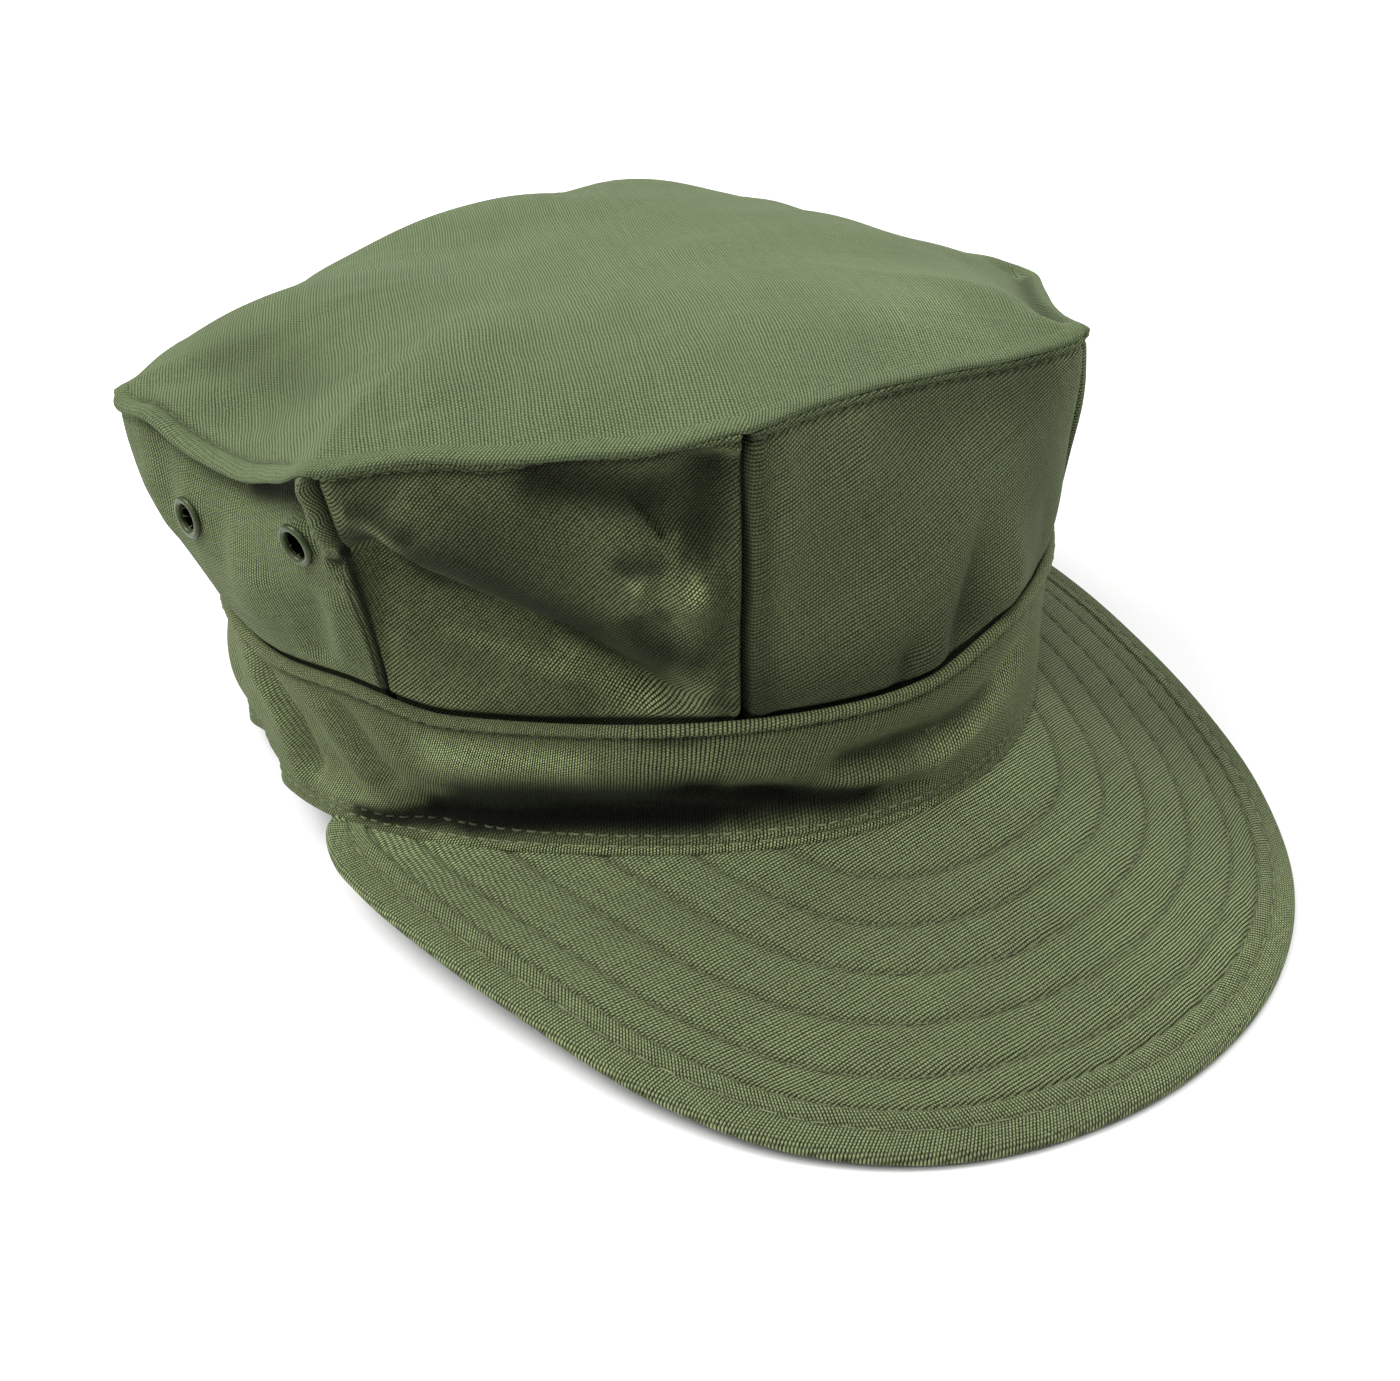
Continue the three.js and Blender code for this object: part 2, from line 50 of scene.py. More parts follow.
PEAK_SLOPE, PEAK_SLOPE_SIDE = 0.372, -0.018
PEAK_END, PEAK_END_ROUND = 82.5, 7.0
DOME, DOME_POWER = 15.5, 4.2
RIM = ((0, 95.9), (1, -4.2), (2, 3.75), (3, 0.1), (4, 3.4))
PEAK_OUTLINE = np.array([98.0, 101.8, 106.9, 113.1, 121.9, 134.5, 147.2, 156.3, 161.3, 163.4,
                         162.3, 156.8, 145.8, 132.7, 121.4, 113.4, 107.2, 101.9, 98.0])  # every 10 degrees
MIDDLE = np.array([-2.5, 8.2])
# how far a corner is rounded off, and over which distance, mm
ROUND = {"A": (2.2, 3.0), "B": (0.3, 2.0), "C": (0.0, 2.0), "D": (1.6, 2.6), "E": (2.8, 5.0), "F": (3.0, 6.0), "G": (3.0, 6.0), "H": (3.0, 6.0)}
PLANE = (91.45, -0.0569, -0.199)

# corner: x, y, z, foot angle, tip, bow, groove depth, groove width
CORNERS = {
    "A": dict(p=(-99.7, 46.8, 88.0), foot=-114.0, tip=2.2, bow=3.6, groove=1.6, wide=0.8),
    "B": dict(p=(-97.1, -30.4, 104.2), foot=-72.3, tip=0.0, bow=-1.0, groove=1.5, wide=0.5),
    "C": dict(p=(-43.8, -79.8, 114.2), foot=-27.9, tip=0.0, bow=0.0, groove=3.6, wide=0.66),
    "D": dict(p=(39.3, -85.3, 108.4), foot=27.9, tip=0.6, bow=1.4, groove=1.8, wide=0.8),
    "E": dict(p=(91.2, -30.8, 90.9), foot=72.3, tip=0.4, bow=1.0, groove=1.6, wide=0.8),
    "F": dict(p=(88.4, 52.8, 83.0), foot=118.0, tip=0.3, bow=1.5, groove=1.6, wide=0.8),
    "G": dict(p=(46.9, 97.4, 83.0), foot=154.0, tip=0.3, bow=1.5, groove=1.6, wide=0.8),
    "H": dict(p=(-39.2, 98.3, 74.8), foot=201.5, tip=0.3, bow=2.0, groove=1.6, wide=0.8),
}
PANELS = [
    dict(name="panel_front", a="C", b="D", sag=-1.0, pull=0.5, at=0.4, belly=1.5, swells=((0.2, 0.15, 0.5), (0.75, 0.2, -0.8))),
    dict(name="panel_front_left", a="D", b="E", sag=1.5, pull=1.6, at=0.4, belly=1.5),
    dict(name="panel_side_left", a="E", b="F", sag=2.6, pull=1.0, at=0.4, belly=2.5),
    dict(name="panel_back_left", a="F", b="G", sag=-4.8, pull=-1.0, at=0.6, belly=3.0),
    dict(name="panel_back", a="G", b="H", sag=-3.6, pull=-0.5, at=0.62, belly=3.0),
    dict(name="panel_back_right", a="H", b="A", sag=-0.6, pull=0.6, at=0.5, belly=5.0, swells=((0.62, 0.24, 2.8),)),
    dict(name="panel_side_right", a="A", b="B", sag=6.5, pull=3.0, at=0.6, belly=2.0, swells=((0.2, 0.1, 2.4), (0.6, 0.18, -1.1), (0.88, 0.08, -0.8))),
    dict(name="panel_front_right", a="B", b="C", sag=2.0, pull=1.0, at=0.45, belly=0.5, swells=((0.25, 0.15, 1.5), (0.78, 0.14, -1.1))),
]
BY_NAME = {p["name"]: p for p in PANELS}
# The side panels' upper strip: mm from the edge to its stitches, and how far it stands out.
STITCH_AT = 2.35
STRIP = {"panel_front_right": 0.75, "panel_front": 0.42, "panel_side_right": 0.0}
for _p, _tall in zip(PANELS, (52.5, 41, 38, 50, 46, 44, 44, 55)):
    _p["tall"] = float(_tall)

# Folds. Either one straight line with u, v: its middle on the panel, 0 to 1; turn:
# degrees from the u direction; length; or path: points u, v that it follows. lo, hi:
# half width below and above the line; out: mm; sharp: 2 is round, near 1 is a crease;
# ends: mm over which a path fades in and out.
FOLDS = {
    "panel_front_right": [
        dict(path=[(-0.02, 0.69), (0.03, 0.628), (0.131, 0.520), (0.244, 0.452), (0.388, 0.366), (0.534, 0.289), (0.656, 0.190), (0.756, 0.105), (0.88, 0.0), (0.95, -0.05)],
             out=-8.8, lo=15.5, hi=4.6, sharp=1.5, sharp_lo=1.3, ends=(6, 20), low=0.1),
        dict(path=[(0.1, 0.836), (0.2, 0.75), (0.32, 0.673), (0.46, 0.596), (0.62, 0.538)], out=3.0, lo=5.5, hi=9.0, ends=(8, 12)),
        dict(path=[(0.02, 0.817), (0.06, 0.807), (0.11, 0.783), (0.16, 0.711), (0.2, 0.624), (0.22, 0.567)], out=0.8, lo=3.4, hi=5.2, ends=(3, 7)),
        dict(path=[(0.02, 0.754), (0.07, 0.73), (0.12, 0.682), (0.165, 0.605), (0.2, 0.538)], out=-0.7, lo=2.4, hi=2.2, ends=(3, 7)),
        dict(path=[(0.42, 0.952), (0.58, 0.913), (0.74, 0.874), (0.9, 0.8)], out=-2.6, lo=8.0, hi=5.0, ends=(12, 6)),
        dict(path=[(0.97, 0.95), (0.94, 0.84), (0.9, 0.72), (0.85, 0.621), (0.79, 0.587)], out=-4.6, lo=9.0, hi=6.0, ends=(4, 10)),
        dict(path=[(0.69, 0.518), (0.735, 0.534), (0.78, 0.509)], out=1.9, lo=5.0, hi=5.2, ends=(5, 5)),
        dict(path=[(0.8, 0.428), (0.865, 0.48), (0.95, 0.55)], out=2.8, lo=5.0, hi=5.0, ends=(6, 5)),
        dict(path=[(0.7, 0.422), (0.755, 0.376), (0.81, 0.348), (0.87, 0.35)], out=-1.2, lo=3.4, hi=2.8, ends=(5, 6)),
        dict(path=[(0.95, 0.44), (0.955, 0.28), (0.95, 0.12)], out=-1.2, lo=4.0, hi=3.0, ends=(6, 6)),
        dict(path=[(0.28, 0.172), (0.45, 0.114), (0.62, 0.085)], out=1.3, lo=7.0, hi=8.0, ends=(10, 10)),
        dict(path=[(0.36, 0.971), (0.45, 0.846), (0.5, 0.73)], out=0.9, lo=5.0, hi=4.0, ends=(3, 6)),
        dict(path=[(0.24, 0.933), (0.3, 0.846), (0.34, 0.75)], out=-0.9, lo=3.5, hi=3.0, ends=(3, 6)),
    ],
    "panel_front": [
        dict(path=[(0.455, -0.04), (0.462, 0.02), (0.488, 0.12), (0.52, 0.26), (0.55, 0.42), (0.565, 0.60)], out=-2.2, lo=3.8, hi=2.6, sharp=1.8, ends=(0, 20), low=0.25),
        dict(path=[(0.315, -0.04), (0.33, 0.05), (0.355, 0.12), (0.375, 0.20)], out=-1.6, lo=2.0, hi=1.9, ends=(0, 7), low=0.2),
        dict(path=[(0.40, -0.02), (0.412, 0.10), (0.44, 0.24)], out=1.8, lo=2.2, hi=3.4, ends=(2, 10)),
        dict(path=[(0.60, 0.0), (0.635, 0.2), (0.66, 0.45)], out=1.8, lo=5.0, hi=3.6, ends=(3, 14)),
        dict(path=[(0.80, 0.02), (0.83, 0.25), (0.82, 0.50)], out=-1.6, lo=6.0, hi=6.0, ends=(0, 14)),
        dict(path=[(0.16, 0.10), (0.20, 0.40), (0.22, 0.75)], out=-1.1, lo=8.0, hi=7.0, ends=(8, 12)),
        dict(path=[(0.28, 0.90), (0.52, 0.84), (0.76, 0.88)], out=-1.2, lo=6.0, hi=6.0, ends=(14, 14)),
        dict(path=[(0.08, 0.98), (0.10, 0.72), (0.07, 0.40)], out=0.8, lo=2.5, hi=2.5, ends=(2, 12)),
    ],
    "panel_side_right": [
        dict(path=[(0.12, 0.97), (0.38, 0.95), (0.62, 0.95), (0.80, 0.93), (0.92, 0.91)], out=-3.6, lo=8.0, hi=4.0, sharp=1.7, ends=(14, 3)),
        dict(path=[(0.985, 1.03), (0.970, 0.93), (0.958, 0.83), (0.956, 0.74), (0.965, 0.66), (0.98, 0.61)], out=2.5, lo=2.5, hi=3.0, sharp=2.0, ends=(0, 7)),
        dict(path=[(0.935, 0.95), (0.925, 0.82), (0.925, 0.70), (0.935, 0.58)], out=-2.2, lo=9.0, hi=2.4, ends=(4, 7)),
        dict(path=[(0.935, 0.588), (0.965, 0.598), (1.0, 0.625)], out=-1.5, lo=1.1, hi=1.3, ends=(2.0, 0)),
        dict(path=[(0.955, 0.655), (0.975, 0.66), (1.0, 0.68)], out=-0.7, lo=0.7, hi=0.7, ends=(1.0, 0)),
        dict(path=[(0.95, 0.53), (1.0, 0.56)], out=-0.9, lo=0.8, hi=0.8, ends=(1.5, 0)),
        dict(path=[(0.66, 0.62), (0.60, 0.40), (0.58, 0.15)], out=2.0, lo=9.0, hi=8.0, ends=(8, 8)),
        dict(path=[(0.87, 0.50), (0.81, 0.28), (0.78, 0.05)], out=-1.6, lo=5.0, hi=5.0, ends=(8, 4)),
        dict(path=[(0.93, 0.50), (0.90, 0.30), (0.89, 0.08)], out=1.4, lo=3.5, hi=4.0, ends=(5, 4)),
        dict(path=[(0.47, 0.80), (0.48, 0.55), (0.46, 0.35)], out=-1.2, lo=4.0, hi=4.0, ends=(6, 8)),
        dict(path=[(0.20, 0.90), (0.24, 0.70), (0.22, 0.45)], out=-1.2, lo=3.5, hi=3.5, ends=(5, 8)),
        dict(path=[(0.12, 0.80), (0.16, 0.55), (0.20, 0.30)], out=1.2, lo=5.0, hi=5.0, ends=(8, 8)),
    ],
    "panel_front_left": [
        dict(path=[(0.12, 0.88), (0.35, 0.66), (0.60, 0.50), (0.85, 0.42)], out=-3.4, lo=9.0, hi=5.0, sharp=1.5, ends=(10, 14)),
        dict(path=[(0.30, 0.86), (0.50, 0.76), (0.72, 0.68)], out=1.8, lo=4.0, hi=6.0, ends=(8, 8)),
        dict(path=[(0.35, 0.30), (0.55, 0.22), (0.80, 0.20)], out=1.6, lo=7.0, hi=7.0, ends=(10, 10)),
    ],
    "panel_side_left": [
        dict(path=[(0.36, 0.85), (0.40, 0.55), (0.36, 0.20)], out=-2.0, lo=6.0, hi=7.0, ends=(8, 8)),
        dict(path=[(0.55, 0.80), (0.60, 0.50), (0.64, 0.20)], out=1.6, lo=8.0, hi=7.0, ends=(8, 8)),
        dict(path=[(0.05, 0.90), (0.08, 0.60), (0.06, 0.35)], out=1.6, lo=3.0, hi=3.0, ends=(3, 8)),
    ],
    "panel_back_left": [
        dict(path=[(0.10, 0.25), (0.35, 0.38), (0.62, 0.60), (0.85, 0.80)], out=-2.6, lo=7.0, hi=7.0, sharp=1.6, ends=(12, 12)),
        dict(path=[(0.30, 0.68), (0.48, 0.78), (0.66, 0.90)], out=1.4, lo=5.0, hi=5.0, ends=(8, 8)),
    ],
    "panel_back": [
        dict(path=[(0.34, 0.88), (0.38, 0.55), (0.30, 0.15)], out=-2.0, lo=7.0, hi=8.0, ends=(8, 8)),
        dict(path=[(0.62, 0.80), (0.60, 0.50), (0.68, 0.12)], out=1.6, lo=7.0, hi=7.0, ends=(8, 8)),
    ],
    "panel_back_right": [
        dict(path=[(0.12, 0.82), (0.38, 0.62), (0.62, 0.46), (0.88, 0.30)], out=-2.6, lo=8.0, hi=6.0, sharp=1.6, ends=(12, 12)),
        dict(path=[(0.45, 0.86), (0.62, 0.74), (0.80, 0.62)], out=1.5, lo=5.0, hi=6.0, ends=(8, 8)),
    ],
}
# Painted shade on the side panels: paths where the cloth's colour is darkened in the hollows, grooves and under the
# folded edge; where out is negative, painted highlight on lit slopes. Paths like those of the folds.
SHADE = {
    "panel_front_right": [
        dict(path=[(0.16, 0.807), (0.4, 0.711), (0.62, 0.634), (0.84, 0.615)], out=0.24, lo=13.0, hi=16.0, ends=(8, 6)),
        dict(path=[(0.02, 0.711), (0.05, 0.668), (0.09, 0.615), (0.14, 0.567)], out=0.8, lo=1.8, hi=2.2, ends=(2, 4)),
        dict(path=[(0.13, 0.66), (0.19, 0.65), (0.263, 0.63), (0.356, 0.575), (0.441, 0.49), (0.525, 0.39), (0.631, 0.317), (0.734, 0.25), (0.838, 0.192)], out=0.75, lo=2.8, hi=4.6, ends=(5, 5)),
        dict(path=[(0.15, 0.35), (0.281, 0.262), (0.394, 0.217), (0.506, 0.167), (0.616, 0.098), (0.731, 0.067), (0.838, 0.055)], out=-0.36, lo=1.8, hi=1.5, ends=(6, 4)),
        dict(path=[(0.2, 0.02), (0.4, 0.03), (0.62, 0.01)], out=0.35, lo=2.0, hi=2.2, ends=(8, 3)),
        dict(path=[(0.93, 0.95), (0.925, 0.5), (0.93, 0.1)], out=0.22, lo=6.0, hi=6.0, ends=(4, 4)),
        dict(path=[(0.03, 0.93), (0.12, 0.90), (0.24, 0.88)], out=0.4, lo=4.0, hi=4.0, ends=(2, 6)),
        dict(path=[(0.30, 0.80), (0.50, 0.76), (0.66, 0.74)], out=0.12, lo=8.0, hi=8.0, ends=(8, 8)),
        dict(path=[(0.90, 0.12), (0.94, 0.08), (0.98, 0.03)], out=0.7, lo=3.0, hi=3.4, ends=(3, 2)),
        dict(path=[(0.965, 0.95), (0.955, 0.6), (0.96, 0.3), (0.955, 0.1)], out=0.4, lo=4.0, hi=3.0, ends=(3, 3)),
        dict(path=[(0.83, 0.63), (0.88, 0.61), (0.93, 0.59)], out=0.6, lo=2.2, hi=3.4, ends=(2, 2)),
        dict(path=[(0.05, 0.84), (0.10, 0.825), (0.16, 0.785), (0.235, 0.725)], out=0.75, lo=1.8, hi=2.6, ends=(1, 3)),
        dict(path=[(0.02, 0.955), (0.4, 0.955), (0.98, 0.955)], out=0.35, lo=1.6, hi=1.8, ends=(2, 2)),
        dict(path=[(0.06, 0.3), (0.3, 0.2), (0.6, 0.08), (0.85, 0.0)], out=0.2, lo=9.0, hi=9.0, ends=(2, 6)),
        dict(path=[(-0.02, 0.769), (0.04, 0.692), (0.09, 0.567), (0.156, 0.494), (0.27, 0.451), (0.4, 0.388), (0.5, 0.326), (0.6, 0.244), (0.68, 0.186), (0.76, 0.148), (0.86, 0.095)], out=0.85, lo=1.7, hi=3.2, ends=(5, 8)),
        dict(path=[(0.12, 0.673), (0.22, 0.586), (0.34, 0.528), (0.481, 0.441), (0.6, 0.345), (0.7, 0.278)], out=0.62, lo=4.2, hi=6.5, ends=(8, 8)),
        dict(path=[(0.24, 0.827), (0.36, 0.75), (0.48, 0.634), (0.56, 0.576)], out=0.34, lo=7.0, hi=6.5, ends=(8, 10)),
        dict(path=[(0.444, 0.947), (0.497, 0.918), (0.553, 0.889), (0.613, 0.867), (0.672, 0.848), (0.731, 0.827), (0.794, 0.793), (0.853, 0.764)], out=1.0, lo=3.2, hi=5.0, ends=(5, 8)),
        dict(path=[(0.95, 0.933), (0.905, 0.865), (0.885, 0.769), (0.895, 0.673), (0.875, 0.605)], out=0.85, lo=6.5, hi=4.6, ends=(4, 6)),
        dict(path=[(0.66, 0.626), (0.722, 0.6), (0.781, 0.607), (0.83, 0.62)], out=0.7, lo=1.8, hi=2.8, ends=(3, 4)),
        dict(path=[(0.706, 0.446), (0.735, 0.336), (0.8, 0.278), (0.86, 0.234), (0.92, 0.191)], out=0.75, lo=3.0, hi=4.2, ends=(3, 4)),
        dict(path=[(0.775, 0.461), (0.8, 0.408), (0.835, 0.384)], out=0.45, lo=2.2, hi=2.0, ends=(2, 3)),
        dict(path=[(0.712, 0.518), (0.742, 0.538), (0.772, 0.523)], out=-0.55, lo=2.3, hi=2.2, ends=(2, 2)),
        dict(path=[(0.835, 0.518), (0.875, 0.509), (0.915, 0.518)], out=-0.55, lo=3.4, hi=2.6, ends=(2.5, 2.5)),
        dict(path=[(0.1, 0.441), (0.209, 0.393), (0.344, 0.307), (0.481, 0.23), (0.6, 0.133)], out=-0.14, lo=4.5, hi=3.6, ends=(4, 5)),
        dict(path=[(0.46, 0.263), (0.54, 0.21), (0.62, 0.143), (0.68, 0.095), (0.74, 0.066), (0.8, 0.047)], out=-0.35, lo=3.2, hi=2.0, ends=(5, 3)),
        dict(path=[(0.02, 0.634), (0.06, 0.61), (0.105, 0.596), (0.16, 0.615)], out=0.55, lo=1.2, hi=1.6, ends=(1.5, 4)),
        dict(path=[(0.03, 0.774), (0.08, 0.745), (0.13, 0.701), (0.18, 0.634)], out=0.5, lo=1.5, hi=1.8, ends=(2, 5)),
    ],
    "panel_front": [
        dict(path=[(0.46, -0.02), (0.468, 0.06), (0.50, 0.18), (0.53, 0.32), (0.555, 0.50)], out=0.2, lo=2.8, hi=2.2, ends=(0, 12)),
        dict(path=[(0.32, -0.03), (0.335, 0.05), (0.36, 0.13)], out=0.35, lo=1.6, hi=1.6, ends=(0, 5)),
        dict(path=[(0.82, 0.0), (0.84, 0.3), (0.83, 0.7)], out=0.12, lo=6.0, hi=6.0, ends=(0, 10)),
        dict(path=[(0.02, -0.1), (0.02, 1.02)], out=0.42, lo=3.0, hi=3.0, ends=(0, 0)),
        dict(path=[(-0.1, 0.06), (0.25, 0.05), (0.50, 0.09), (0.62, 0.10)], out=0.5, lo=4.0, hi=9.0, ends=(0, 8)),
        dict(path=[(0.74, -0.05), (0.77, 0.5), (0.78, 1.05)], out=0.22, lo=8.0, hi=8.0, ends=(0, 0)),
        dict(path=[(0.96, 0.2), (0.97, 1.05)], out=-0.22, lo=6.0, hi=6.0, ends=(6, 0)),
        dict(path=[(0.0, 0.5), (0.5, 0.6), (1.0, 0.7)], out=0.10, lo=30.0, hi=30.0, ends=(0, 0)),
        dict(path=[(0.28, 0.88), (0.52, 0.88), (0.90, 0.93)], out=0.18, lo=8.0, hi=8.0, ends=(10, 4)),
    ],
    "panel_side_right": [
        dict(path=[(0.10, 0.965), (0.40, 0.955), (0.72, 0.955), (0.85, 0.945), (0.95, 0.935)], out=0.6, lo=2.6, hi=2.6, ends=(8, 2)),
        dict(path=[(0.74, 0.955), (0.85, 0.94), (0.955, 0.93)], out=1.1, lo=2.6, hi=2.6, ends=(8, 1)),
        dict(path=[(0.56, 0.945), (0.66, 0.93), (0.75, 0.915), (0.85, 0.90), (0.93, 0.89)], out=2.0, lo=2.3, hi=4.2, ends=(5, 1)),
        dict(path=[(0.940, 0.640), (0.955, 0.612), (0.970, 0.602), (0.985, 0.622), (1.0, 0.655)], out=1.3, lo=0.55, hi=0.6, ends=(1, 0)),
        dict(path=[(0.945, 0.592), (0.97, 0.60), (1.0, 0.625)], out=0.45, lo=1.2, hi=1.2, ends=(1.5, 0)),
    ],
}
# Painted shade on the band, in degrees and mm: the dark pocket under the bulge and the creases are darkened in colour;
# where out is negative, painted highlight on lit parts.
BAND_SHADE = [
    dict(path=[(-67, 9.6), (-62, 10.6), (-56, 11.8), (-46, 12.5), (-39, 12.2), (-33, 12.4), (-29, 12.6)], out=2.4, lo=6.4, hi=6.9, sharp=2.3, ends=(9, 6)),
    dict(path=[(-70, 6.4), (-66, 7.6), (-61.5, 9.0)], out=1.8, lo=3.0, hi=3.2, sharp=2.2, ends=(4, 4)),
    dict(path=[(-66, 5.6), (-56, 6.6), (-46, 7.4), (-38, 7.8), (-31, 7.8), (-24, 7.4)], out=2.4, lo=1.7, hi=2.8, sharp=2.2, ends=(6, 17)),
    dict(path=[(-70, 0.6), (-58, 1.4), (-46, 2.0), (-30, 2.2), (-14, 2.0), (0, 1.5)], out=-0.5, lo=2.6, hi=1.9, ends=(8, 12)),
    dict(path=[(-80, 3.3), (-74, 4.1), (-70, 4.8), (-65, 5.8), (-58, 6.8), (-50, 7.6)], out=2.0, lo=1.6, hi=2.0, sharp=2.2, ends=(5, 6)),
    dict(path=[(-33, 11.0), (-27, 11.0), (-21, 10.2), (-16, 9.6), (-10, 9.8)], out=2.2, lo=3.0, hi=2.7, sharp=2.4, ends=(6, 6)),
    dict(path=[(-30, 7.0), (-25, 7.0), (-20, 7.4)], out=0.7, lo=2.0, hi=3.0, ends=(4, 5)),
    dict(path=[(-37, 17.0), (-31, 16.6), (-24.25, 13.8), (-18, 12.0)], out=0.5, lo=1.8, hi=3.2, ends=(8, 6)),
    dict(path=[(-71, 26), (-64, 25.6), (-56, 25.2), (-48, 24.5), (-44, 24)], out=-0.5, lo=5.0, hi=3.4, ends=(8, 10)),
    dict(path=[(-90, 9), (-84, 7.0), (-78, 7.4), (-73, 9.0)], out=-0.28, lo=2.4, hi=4.2, ends=(8, 5)),
    dict(path=[(-100, 24), (-94, 23), (-86, 22)], out=-0.25, lo=7, hi=5, ends=(8, 8)),
    dict(path=[(-8, 12), (5, 17), (11, 21), (16, 25)], out=-0.42, lo=5, hi=5, ends=(6, 8)),
    dict(path=[(-42, 30), (-36, 29.6), (-31, 30)], out=0.5, lo=1.2, hi=1.2, ends=(8, 6)),
    dict(path=[(-19, 18.8), (-13, 19.2), (-7, 18.8), (-2, 18.0), (3, 18.4), (9, 20)], out=0.75, lo=2.4, hi=3.2, ends=(8, 10)),
    dict(path=[(-96, 30), (-91.5, 24), (-86.5, 16), (-83.5, 8)], out=0.22, lo=2.2, hi=2.2, ends=(3, 5)),
    dict(path=[(-82, 28), (-78, 23), (-74, 16)], out=0.15, lo=2.2, hi=2.2, ends=(3, 5)),
]

# Dents and swells of the top, by place in the cap frame.
RIM_DENTS = [
    # inside the far edge, which stands up like a low wall
    dict(path=[(33.5, -81.5), (42, -74.5), (51, -65.0), (60.5, -53.9), (72, -43.2), (82, -34.2), (88, -26)], lo=1.9, hi=6.5, out=-3.0, ends=(7, 6)),
]
DENTS = [
    dict(x=-79, y=22, turn=75, length=38, lo=16, hi=16, out=-6.8),
    dict(x=-70, y=-10, turn=55, length=18, lo=8, hi=8, out=-1.6),
    dict(x=-52, y=-18, turn=40, length=20, lo=8, hi=8, out=1.0),
    dict(x=30, y=-40, turn=10, length=40, lo=22, hi=22, out=-2.5),
    dict(x=62, y=-38, turn=60, length=26, lo=12, hi=12, out=-3.0),
    dict(x=71, y=-20, turn=-15, length=36, lo=13, hi=13, out=-2.8),
    dict(x=10, y=70, turn=0, length=50, lo=22, hi=22, out=3.0),
    dict(path=[(-70, -10), (-76, -23), (-81, -36)], lo=3.0, hi=3.5, out=-0.9, ends=(7, 3)),
    dict(path=[(-66, -16), (-71, -27), (-75, -36)], lo=3.0, hi=3.0, out=0.7, ends=(7, 4)),
]
# Painted shade on the top, in the cap frame: the inner side of the far raised edge and the hollows are darkened in
# colour; where out is negative, painted highlight.
TOP_SHADE = [
    dict(path=[(37, -81.8), (51, -66.6), (61.4, -54.9), (73, -43.9), (82.6, -35)], out=0.65, lo=1.4, hi=2.4, ends=(5, 4)),
    dict(path=[(-66, 40), (-76, 34), (-86, 30)], out=0.2, lo=14.0, hi=12.0, ends=(12, 8)),
    dict(path=[(-30, 0), (-60, 30), (-84, 44)], out=0.05, lo=30.0, hi=30.0, ends=(20, 8)),
    dict(path=[(0, -50), (20, -50), (40, -40)], out=-0.07, lo=26.0, hi=26.0, ends=(16, 8)),
    dict(path=[(-10, -66), (8, -70), (24, -70)], out=-0.22, lo=12.0, hi=16.0, ends=(16, 8)),
    dict(path=[(-96, 40), (-95.6, 28), (-94.5, 17), (-94, 8)], out=0.22, lo=1.2, hi=1.2, ends=(4, 6)),
    dict(path=[(-72, 30), (-74, 14), (-76, 0), (-74, -8)], out=0.16, lo=6.0, hi=6.0, ends=(12, 8)),
]
